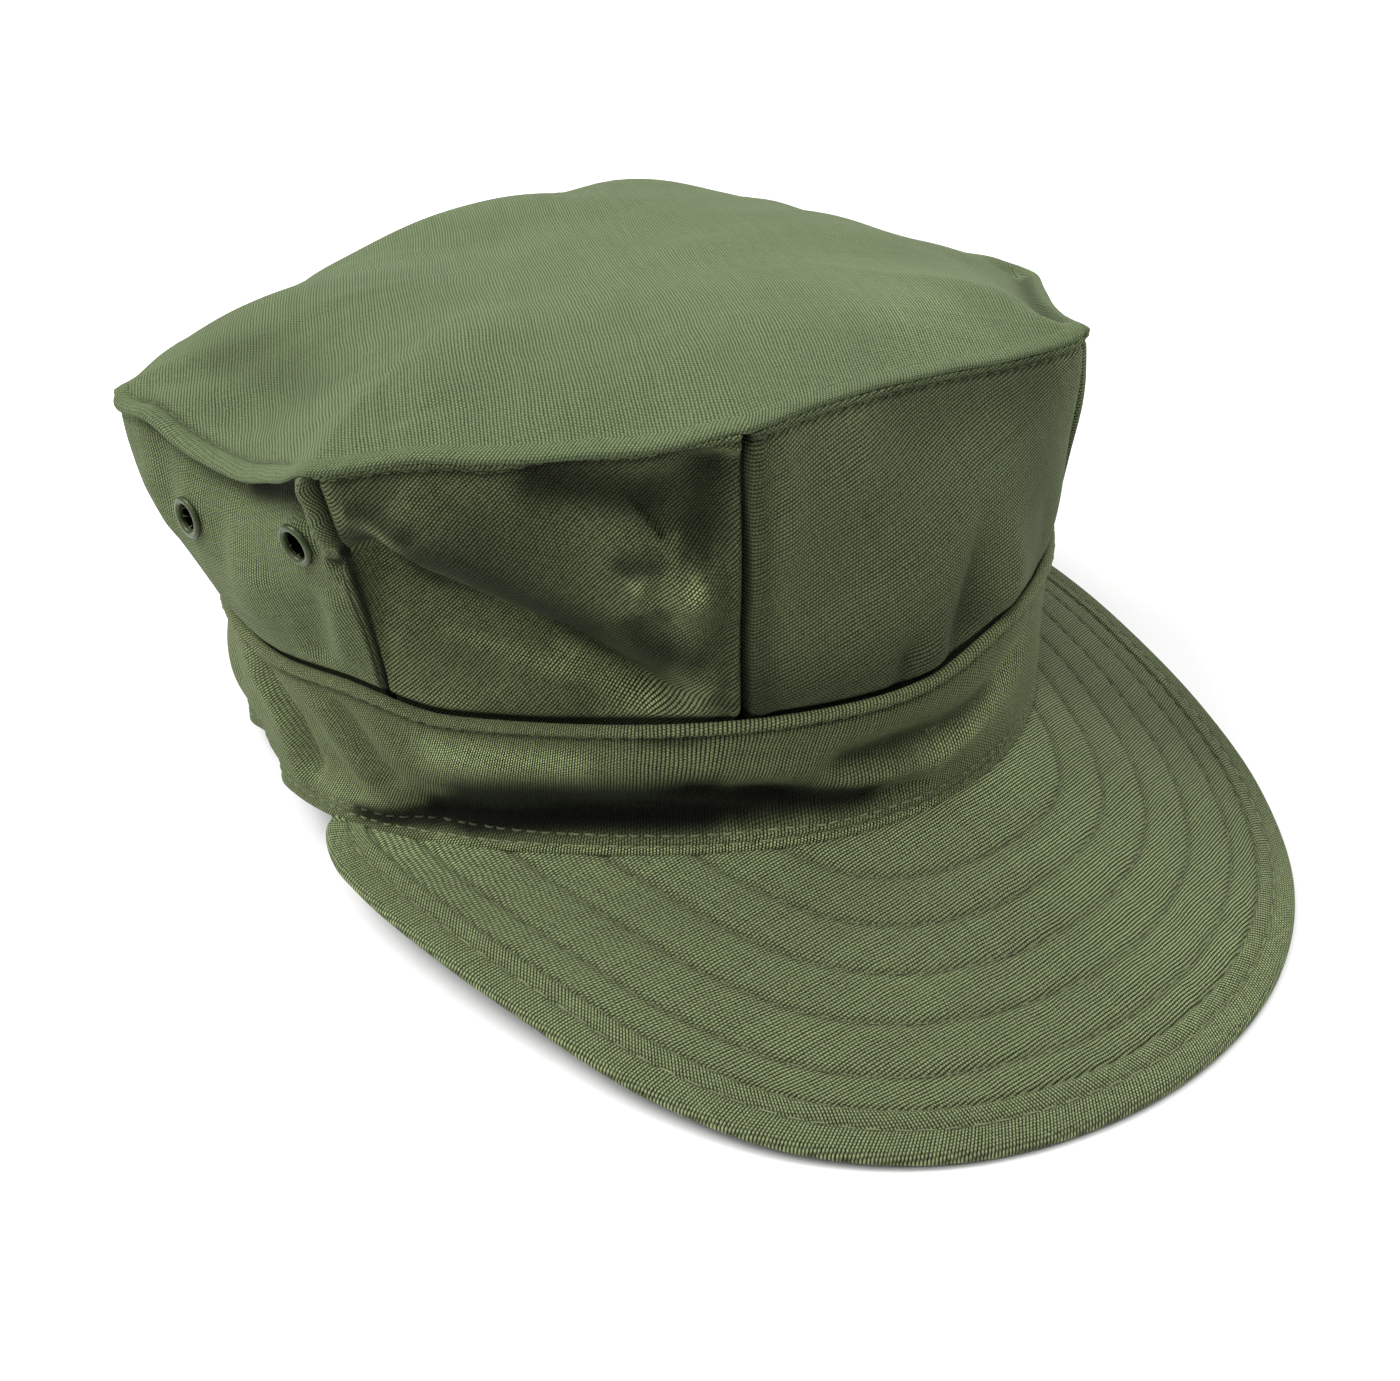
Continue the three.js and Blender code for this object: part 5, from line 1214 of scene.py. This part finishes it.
# ---- band -------------------------------------------------------------------------
BAND_PROFILE = [  # outward, up
    (-0.15, 0.0), (0.15, 0.15), (0.32, 0.45), (0.40, 0.85), (0.40, 1.3), (0.32, 1.75), (0.08, 2.1), (-0.16, 2.4), (-0.2, 2.65), (-0.04, 2.95),
    (0.14, 3.3), (0.2, 3.65), (0.08, 4.0), (-0.14, 4.3), (-0.2, 4.6), (-0.06, 4.9), (0.1, 5.3), (0.06, 5.8), (0.0, 6.4), (0.0, 7.0),
]
BAND_PROFILE += [(0.0, 7.0 + 0.72 * k) for k in range(1, 30)]
BAND_PROFILE += [(0.0, 28.5), (0.0, 29.2), (-0.06, 29.7), (-0.24, 30.1), (-0.46, 30.4), (-0.5, 30.65), (-0.28, 30.9), (0.12, 31.15), (0.55, 31.4), (0.9, 31.75),
                 (1.1, 32.15), (1.04, 32.65), (0.84, 33.1), (0.5, 33.45), (0.05, 33.62), (-0.5, 33.6), (-0.95, 33.35), (-1.4, 32.9), (-1.75, 32.2), (-1.9, 31.2)]
BAND_INNER = [(-1.9, 26.0), (-1.9, 20.0), (-1.9, 14.0), (-1.9, 8.0), (-1.9, 3.0), (-1.8, 0.8), (-1.4, 0.1), (-0.8, -0.02)]


def band_surface(a, up, o):
    """place on the band at angle a: o mm proud of its face, up mm above its lower edge"""
    x = np.degrees(np.arctan2(np.sin(a), np.cos(a))) * 1.676
    face = smooth((up + 0.5) / 1.5) * (o > -1.2)
    fine = 0.28 * wavy(x, up * 2.0, 21, 26.0) * smooth((up - 5) / 5.0) * smooth((30 - up) / 4.0)
    near = np.exp(-((up - 30.4) / 2.4) ** 2) + 0.9 * np.exp(-((up - 3.4) / 2.6) ** 2)
    fine = fine + near * (0.10 * np.sin(x * 2 * math.pi / 4.6 + 2.2 * np.sin(x / 11.0)) + 0.08 * np.sin(x * 2 * math.pi / 3.1 + 1.5 * np.sin(x / 7.0)))
    q = band_point(a, up, -(o + fine * face))
    return q


def build_band():
    cols = 560
    a = np.linspace(-math.pi, math.pi, cols + 1)[:-1]
    prof = np.array(BAND_PROFILE + BAND_INNER)
    A = a[None, :] + 0 * prof[:, :1]
    O = prof[:, :1] + 0 * A
    H = prof[:, 1:] + 0 * A
    g = band_surface(A, H, O)
    b = Build()
    # painted shade of the band, on its outer face only
    a0 = b.points(g, band_painted_shade(A, H) * (O > -1.2))
    rows = len(prof)
    af = np.linspace(-math.pi, math.pi, cols + 1)
    deg = np.degrees(af)
    x = af * 96.0
    sh = -0.6 * np.exp(-((deg + 92) / 22) ** 2) + 0.2 * np.exp(-((deg + 43) / 12) ** 2)
    run = np.concatenate([[0], np.cumsum(np.hypot(*np.diff(prof, axis=0).T))])
    y = run[:, None] + 0 * x[None, :]
    uv = turn_uv(x[None, :] + 0 * y, y, -12)
    uv[..., 0] += sh[None, :] * y
    k = b.uvs(uv)
    q = grid_quads(rows, cols, True)
    b.quads(a0 + q, k + grid_quads(rows, cols + 1))
    j = np.arange(cols)
    jj = (j + 1) % cols
    last = (rows - 1) * cols
    lu = (rows - 1) * (cols + 1)
    b.quads(np.stack([a0 + last + j, a0 + last + jj, a0 + jj, a0 + j], -1), np.stack([k + lu + j, k + lu + j + 1, k + j + 1, k + j], -1))
    for h, pitch, length, seed in ((30.55, 3.1, 2.1, 31), (2.5, 3.0, 2.0, 32), (4.5, 3.0, 2.0, 33)):
        af = np.linspace(-math.pi, math.pi, 1441)
        o = float(np.interp(h, [z for _, z in BAND_PROFILE[:-8]], [o_ for o_, _ in BAND_PROFILE[:-8]]))
        line = band_surface(af, h + 0 * af, o + 0 * af)
        up = np.stack([np.sin(af), -np.cos(af), 0.05 + 0 * af], -1)
        # the stitches take the band's painted shade and highlight there, clipped to -0.3 to 0.7; the top row is made
        # 0.1 lighter
        stitches(b, line, up, pitch, length, 0.40 if h > 20 else 0.46, seed, shade=np.clip(band_painted_shade(af, h + (0.0 if h > 20 else -1.2) + 0 * af), -0.3, 0.7) - (0.1 if h > 20 else 0.0))
    return b.make("band_cloth", [BAND, THREADS])


# ---- peak -------------------------------------------------------------------------
PEAK_TOP, PEAK_LOW = 0.8, -1.6
ROWS_AT = [5.15, 14.8, 24.56, 34.32, 44.08, 53.84]
BORDER = 8.4


def peak_reach(a):
    """inner and outer radius of the peak at angle a"""
    a = np.asarray(a, float)
    ri = rim_radius(a) + 0.25
    ro = peak_outer(a)
    rest = np.clip((math.radians(PEAK_END) - np.abs(a)) / math.radians(PEAK_END_ROUND), 0, 1)
    rnd = 0.12 + 0.88 * np.sqrt(np.maximum(0, 1 - (1 - rest) ** 2))
    return ri, ri + (ro - ri) * rnd


_oa = np.radians(np.linspace(-PEAK_END, PEAK_END, 901))
_ro = peak_reach(_oa)[1]
OUTLINE_XY = np.stack([_ro * np.sin(_oa), -_ro * np.cos(_oa)], -1)


def outline_distance(x, y):
    """mm from the peak's outline, measured along its slope, and the place along it"""
    x, y = np.broadcast_arrays(np.asarray(x, float), np.asarray(y, float))
    shape = x.shape
    x, y = x.ravel(), y.ravel()
    seg = np.linalg.norm(np.diff(OUTLINE_XY, axis=0), axis=1)
    run = np.concatenate([[0], np.cumsum(seg)])
    best = np.empty(len(x))
    at = np.empty(len(x))
    A, D = OUTLINE_XY[:-1], np.diff(OUTLINE_XY, axis=0)
    coarse = OUTLINE_XY[::6]
    for i in range(0, len(x), 4000):
        X, Y = x[i:i + 4000], y[i:i + 4000]
        d2 = (X[:, None] - coarse[None, :, 0]) ** 2 + (Y[:, None] - coarse[None, :, 1]) ** 2
        c = np.clip(d2.argmin(1) * 6, 0, len(A) - 1)
        idx = np.clip(c[:, None] + np.arange(-7, 8)[None, :], 0, len(A) - 1)
        ax, dx = A[idx], D[idx]
        t = np.clip(((X[:, None] - ax[..., 0]) * dx[..., 0] + (Y[:, None] - ax[..., 1]) * dx[..., 1]) / (seg[idx] ** 2), 0, 1)
        dist = np.hypot(X[:, None] - ax[..., 0] - t * dx[..., 0], Y[:, None] - ax[..., 1] - t * dx[..., 1])
        m = dist.argmin(1)
        r = np.arange(len(X))
        best[i:i + 4000] = dist[r, m]
        at[i:i + 4000] = run[idx[r, m]] + t[r, m] * seg[idx[r, m]]
    return best.reshape(shape), at.reshape(shape)


SLOPE_STRETCH = math.sqrt(1 + 0.33 ** 2)


def peak_relief(x, y, d, at):
    """height of the quilted upper face over the smooth sheet"""
    z = 0.0
    for k, r in enumerate(ROWS_AT):
        e = d - r
        wob = 0.10 * np.sin(at / 6.0 + k)
        z = z - (0.42 if k else 0.3) * np.exp(-np.abs((e + wob) / 0.62) ** 1.6)
        z = z - 0.16 * np.exp(-((e + wob) / 2.0) ** 2)
        z = z + 0.07 * np.exp(-((e + wob) / 1.5) ** 2) * np.sin(at * 2 * math.pi / 4.7 + 1.3 * k + 1.8 * np.sin(at / 17.0))
    # the bound border: a strip as wide as BORDER, its inner edge a step with a stitched ditch
    z = z + 0.42 * smooth((BORDER + 0.25 - d) / 0.5)
    z = z - 0.38 * np.exp(-((d - BORDER - 0.35) / 0.42) ** 2)
    z = z + 0.06 * np.sin(at * 2 * math.pi / 3.9 + 2.0 * np.sin(at / 11.0)) * np.exp(-((d - 6.6) / 2.0) ** 2)
    return z + 0.22 * wavy(x, y, 41, 46.0) * smooth(d / 12.0)


def peak_top(a, r):
    x, y = r * np.sin(a), -r * np.cos(a)
    d, at = outline_distance(x, y)
    d = d * SLOPE_STRETCH
    z = peak_height(a, r) + PEAK_TOP + peak_relief(x, y, d, at) * smooth(d / 1.2)
    return np.stack([x, y, z], -1), d, at


def peak_bottom(a, r):
    x, y = r * np.sin(a), -r * np.cos(a)
    d, at = outline_distance(x, y)
    d = d * SLOPE_STRETCH
    z = peak_height(a, r) + PEAK_LOW - 0.6 * peak_relief(x, y, d, at) * smooth(d / 1.2)
    return np.stack([x, y, np.maximum(z, 0.02)], -1), d, at


def peak_uv(x, y):
    """threads of the peak's cloth: they swing round a little towards its sides"""
    return np.stack([-y * 1.05 + 0.0045 * x ** 2 / 2, x - 0.0045 * x * (y + 95)], -1)


def build_peak():
    cols = 364
    t = np.linspace(-1, 1, cols + 1)
    a = math.radians(PEAK_END) * np.sin(math.pi / 2 * t * 0.94) / math.sin(math.pi / 2 * 0.94)
    ri, ro = peak_reach(a)
    n_out, n_in = ((30, 58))
    # rows: the border's, about parallel to the outline, then the rest
    zone = np.minimum(11.0, 0.62 * (ro - ri))
    w_out = np.linspace(0, 1, n_out + 1) ** 1.25
    r_b = ro[None, :] - zone[None, :] * w_out[:, None]
    w_in = np.linspace(0, 1, n_in + 1)[1:]
    r_i = (ro - zone)[None, :] + (ri - ro + zone)[None, :] * w_in[:, None]
    R = np.concatenate([r_b, r_i])
    A = a[None, :] + 0 * R
    up, d, at = peak_top(A, R)
    lo, _, _ = peak_bottom(A, R)
    # rounded outer edge: the first rows of both faces drop to the middle
    edge_r = 1.25
    k = np.clip(1 - d / edge_r, 0, 1)
    drop = (1 - np.sqrt(np.maximum(0, 1 - k ** 2)))
    mid = (up[..., 2] + lo[..., 2]) / 2
    up[..., 2] += (mid - up[..., 2]) * drop * 0.96
    lo[..., 2] += (mid - lo[..., 2]) * drop * 0.96
    b = Build()
    # painted shade in the stitched ditches of the rows and the border
    rows_painted_shade = sum((0.42 if r > 6 else 0.26) * np.exp(-(np.abs(d - r) / 0.5) ** 2) for r in ROWS_AT) + 0.4 * np.exp(-((d - BORDER - 0.35) / 0.4) ** 2)
    # painted highlight near the band over the front and the wearer's right side, and on the rounded outer edge (k);
    # peak_dark adds painted shade and light by side
    near = -0.22 * np.exp(-((R - ri) / 7.0) ** 2) * smooth((math.radians(35) - A) / 0.4)
    a0, a1 = b.points(up, np.clip(rows_painted_shade, 0, 0.6) + peak_dark(A) + near - 0.12 * k), b.points(lo, np.clip(rows_painted_shade, 0, 0.6) - 0.25 * k)
    rows, nc = R.shape
    x, y = up[..., 0], up[..., 1]
    k0 = b.uvs(peak_uv(x, y))
    # border strip: its threads slant against the edge, one way outside the stitches and
    # the other way inside them
    nx = d * np.cos(math.radians(22)) + at * np.sin(math.radians(22))
    ny = at * np.cos(math.radians(22)) - d * np.sin(math.radians(22))
    k1 = b.uvs(np.stack([ny, nx], -1))
    nx2 = d * np.cos(math.radians(-34)) + at * np.sin(math.radians(-34))
    ny2 = at * np.cos(math.radians(-34)) - d * np.sin(math.radians(-34))
    k2 = b.uvs(np.stack([ny2, nx2], -1))
    q = grid_quads(rows, nc).reshape(rows - 1, nc - 1, 4)
    dm = (d[:-1, :-1] + d[1:, 1:]) / 2
    z1, z2 = dm < 5.0, (dm >= 5.0) & (dm < BORDER + 0.3)
    z0 = ~(z1 | z2)
    for zz, kk in ((z0, k0), (z1, k1), (z2, k2)):
        b.quads(a0 + q[zz], kk + q[zz])
        b.quads((a1 + q[zz])[:, ::-1], (kk + q[zz])[:, ::-1])
    j = np.arange(nc - 1)
    i = np.arange(rows - 1)
    for ia, ib in ((j, j + 1), ((rows - 1) * nc + j + 1, (rows - 1) * nc + j), ((i + 1) * nc, i * nc), (i * nc + nc - 1, (i + 1) * nc + nc - 1)):
        b.quads(np.stack([a0 + ib, a0 + ia, a1 + ia, a1 + ib], -1), np.stack([k1 + ib, k1 + ia, k1 + ia, k1 + ib], -1))
    # stitch rows, on both faces
    fa = np.radians(np.linspace(-PEAK_END + 0.4, PEAK_END - 0.4, 700))
    fri, fro = peak_reach(fa)
    share = np.linspace(0, 1, 160)
    FR = fri[:, None] + (fro - fri)[:, None] * share[None, :]
    FA = fa[:, None] + 0 * FR
    fd, _ = outline_distance(FR * np.sin(FA), -FR * np.cos(FA))
    fd = fd * SLOPE_STRETCH
    for n, row in enumerate(ROWS_AT + [BORDER + 0.35]):
        rr = np.array([np.interp(-row, -fd[m], FR[m]) if fd[m, 0] > row + 1.2 else np.nan for m in range(len(fa))])
        ok = ~np.isnan(rr)
        if ok.sum() < 8:
            continue
        aa, rr = fa[ok], rr[ok]
        for face in (0, 1):
            fn = peak_bottom if face else peak_top
            line = fn(aa, rr)[0]
            e = 0.4
            du = fn(aa + e / rr, rr)[0] - fn(aa - e / rr, rr)[0]
            dv = fn(aa, rr + e)[0] - fn(aa, rr - e)[0]
            nrm = np.cross(du, dv)
            nrm[:, 2] = np.where(nrm[:, 2] == 0, 1e-9, nrm[:, 2])
            nrm *= (np.sign(nrm[:, 2]) * (-1 if face else 1))[:, None]
            nrm /= np.linalg.norm(nrm, axis=1)[:, None]
            smooth_n = np.stack([np.convolve(np.pad(nrm[:, c], 6, mode="edge"), np.ones(13) / 13, "valid") for c in range(3)], -1)
            if face and line[:, 2].min() < 1.2:
                keep = line[:, 2] > 0.6
                if keep.sum() < 8:
                    continue
            ditch = n == len(ROWS_AT)
            stitches(b, line, smooth_n, 4.7 if not ditch else 4.1, 3.4 if not ditch else 2.7, 0.38 if not ditch else 0.34, 60 + n + 10 * face, mat=1 if n == 0 else 2)
    return b.make("peak_cloth", [PEAK, THREADS, THREADS_PAINTED_SHADE])


# ---- seam stitches of the crown ---------------------------------------------------
def build_seam_stitches():
    b = Build()
    for n, p in enumerate(PANELS):
        u = np.linspace(0.02, 0.98, 120)
        if p["name"] == "panel_side_right":
            w = lip_share(p, u)
            on_top = u[w > 0.6]
            line = lip_point(p, on_top, -2.5 + 0 * on_top, -0.38 + 0 * on_top)
            e = edge_point(p, on_top)
            out = e[:, :2] - MIDDLE
            out /= np.linalg.norm(out, axis=1)[:, None]
            up = np.concatenate([out * 0.25, np.ones((len(on_top), 1))], 1)
            stitches(b, line, up, 3.2, 2.2, 0.3, 90 + n, mat=0)
            continue
        low = band_point(foot_angle(p, u), BAND_HEIGHT + 0.7, 0.25)
        tall = np.linalg.norm(edge_point(p, u) - low, axis=-1)
        v = 1 - (STITCH_AT + 0.1) / tall
        line = panel_surface(p, u, v)
        e = 0.01
        du = panel_surface(p, u + e, v) - panel_surface(p, u - e, v)
        dv = panel_surface(p, u, v + e) - panel_surface(p, u, v - e)
        nrm = np.cross(du, dv)
        nrm /= np.linalg.norm(nrm, axis=1)[:, None]
        d = line[:, :2] - MIDDLE
        sgn = np.sign(np.einsum("ij,ij->i", nrm[:, :2], d))
        nrm *= sgn[:, None]
        stitches(b, line, nrm, 3.2, 2.1, 0.4, 90 + n, mat=0)
    return b.make("crown_stitches", [THREADS_PAINTED_SHADE])


# ---- eyelets ----------------------------------------------------------------------
def build_eyelet(e):
    p = BY_NAME[e["panel"]]
    q, n = panel_frame(p, e["u"], e["v"])
    prof = []
    # outer ring: a rolled flange with a rounded top that turns down into the bore
    for t in np.linspace(0, 1, 15):
        ang = math.pi * (1.0 - t)
        prof.append((3.5 + 0.76 * -math.cos(ang), 0.12 + 0.86 * math.sin(ang) ** 0.85))
    prof = prof[::-1]                      # from the outer foot over the top to the bore
    prof += [(2.76, 0.1), (2.80, -0.3), (2.84, -0.9), (2.86, -1.5)]
    back = -CLOTH
    prof += [(2.87, back - 0.5), (2.95, back - 0.85), (3.2, back - 0.95), (3.6, back - 0.85), (3.8, back - 0.55), (3.75, back - 0.05)]
    prof += [(3.1, back + 0.1), (3.1, -0.1)]
    prof = np.array(prof)
    sides = 48
    a = np.arange(sides) * 2 * math.pi / sides
    z = n / np.linalg.norm(n)
    x = np.cross([0, 0, 1.0], z)
    x /= np.linalg.norm(x)
    y = np.cross(z, x)
    pts = q[None, None] + prof[:, None, :1] * (np.cos(a)[None, :, None] * x + np.sin(a)[None, :, None] * y) + prof[:, None, 1:] * z
    b = Build()
    # painted shade: the bore, and the outer foot of the flange where it meets the cloth, are darkened in colour
    deep = np.clip((0.45 - prof[:, 1]) / 0.5, 0, 1) * (prof[:, 0] < 3.0) * 0.93 + np.clip((prof[:, 0] - 3.9) / 0.4, 0, 1) * 0.35
    a0 = b.points(pts, np.broadcast_to(deep[:, None], (len(prof), sides)))
    run = np.concatenate([[0], np.cumsum(np.hypot(*np.diff(prof, axis=0).T))])
    uv = np.stack(np.broadcast_arrays((np.arange(sides + 1) / sides * 20.0)[None, :], run[:, None]), -1)
    k = b.uvs(uv)
    rows = len(prof)
    b.quads(a0 + grid_quads(rows, sides, True), k + grid_quads(rows, sides + 1))
    j = np.arange(sides)
    jj = (j + 1) % sides
    last, lu = (rows - 1) * sides, (rows - 1) * (sides + 1)
    b.quads(np.stack([a0 + last + j, a0 + last + jj, a0 + jj, a0 + j], -1), np.stack([k + lu + j, k + lu + j + 1, k + j + 1, k + j], -1))
    return b.make(e["name"] + "_metal", [METAL])


# ---- put together -----------------------------------------------------------------
def dress(ob, slot, *nodes):
    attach(ob, "root")
    if nodes:
        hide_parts(*nodes)
    MADE[ob.name] = ob


for _p in PANELS:
    dress(build_panel(_p), "cloth", _p["name"])
dress(build_top(), "cloth", "crown_top")
dress(build_band(), "cloth", "band")
dress(build_peak(), "cloth", "peak")
dress(build_seam_stitches(), "cloth")
for _e in EYELETS:
    dress(build_eyelet(_e), "eyelet", _e["name"])

# ---- floor, camera, light -----------------------------------------------------------
def floor():
    me = bpy.data.meshes.new("floor")
    s = 4.0
    me.from_pydata([(-s, -s, 0), (s, -s, 0), (s, s, 0), (-s, s, 0)], [], [(0, 1, 2, 3)])
    m = bpy.data.materials.new("floor_white")
    m.use_nodes = True
    b = m.node_tree.nodes["Principled BSDF"]
    b.inputs["Base Color"].default_value = (0.86, 0.86, 0.86, 1)
    b.inputs["Roughness"].default_value = 0.9
    b.inputs["Specular IOR Level"].default_value = 0.1
    me.materials.append(m)
    ob = bpy.data.objects.new("floor", me)
    bpy.context.scene.collection.objects.link(ob)


floor()
scene = bpy.context.scene
EYE = Vector((-0.203844, -0.222116, 0.234774))
AIM = Vector((-0.047894, -0.046043, 0.060))
back = (EYE - AIM).normalized()
right = Vector((0, 0, 1)).cross(back).normalized()
upv = back.cross(right)
roll = math.radians(0.74006)
R_ = right * math.cos(roll) + upv * math.sin(roll)
U_ = upv * math.cos(roll) - right * math.sin(roll)
cam = bpy.data.cameras.new("camera")
cam.sensor_fit = "HORIZONTAL"
cam.sensor_width = 36.0
cam.lens = 1613.12566 / 1400.0 * 36.0
cam.clip_start = 0.01
cam.clip_end = 30.0
cam_ob = bpy.data.objects.new("camera", cam)
M = Matrix.Identity(4)
for i_ in range(3):
    M[i_][0], M[i_][1], M[i_][2], M[i_][3] = R_[i_], U_[i_], back[i_], EYE[i_]
cam_ob.matrix_world = M
scene.collection.objects.link(cam_ob)
scene.camera = cam_ob


def area(name, place, at, size, watts, colour=(1, 1, 1)):
    l = bpy.data.lights.new(name, "AREA")
    l.shape = "RECTANGLE"
    l.size, l.size_y = size
    l.energy = watts
    l.color = colour
    ob = bpy.data.objects.new(name, l)
    d = Vector(at) - Vector(place)
    ob.location = place
    ob.rotation_euler = d.to_track_quat("-Z", "Y").to_euler()
    scene.collection.objects.link(ob)
    return ob


def studio(name, turn, height, watts, size=0.9, reach=1.6):
    """a soft box: turn is degrees from the cap's front towards its left side"""
    e, a = math.radians(height), math.radians(turn)
    at = (math.sin(a) * math.cos(e) * reach, -math.cos(a) * math.cos(e) * reach, math.sin(e) * reach + 0.05)
    return area(name, at, (0, 0, 0.05), (size, size), watts)


LIGHTS = dict(
    rim=studio("light_rim", 135, 15, 7.0),
    low=studio("light_low", 90, 15, 10.0),
    front=studio("light_front", 45, 50, 5.2),
    side=studio("light_side", 90, 50, 3.8),
    key=studio("light_key", 300, 60, 6.5, size=0.6),
    back=studio("light_back", 225, 50, 26.5),
    left=studio("light_left", 262, 34, 5.5),
    top=area("light_top", (0, 0, 1.6), (0, 0, 0), (0.9, 0.9), 12.0),
)
world = bpy.data.worlds.new("studio")
world.use_nodes = True
world.node_tree.nodes["Background"].inputs["Color"].default_value = (1, 1, 1, 1)
world.node_tree.nodes["Background"].inputs["Strength"].default_value = 0.015
scene.world = world
scene.view_settings.view_transform = "Standard"
scene.view_settings.look = "None"
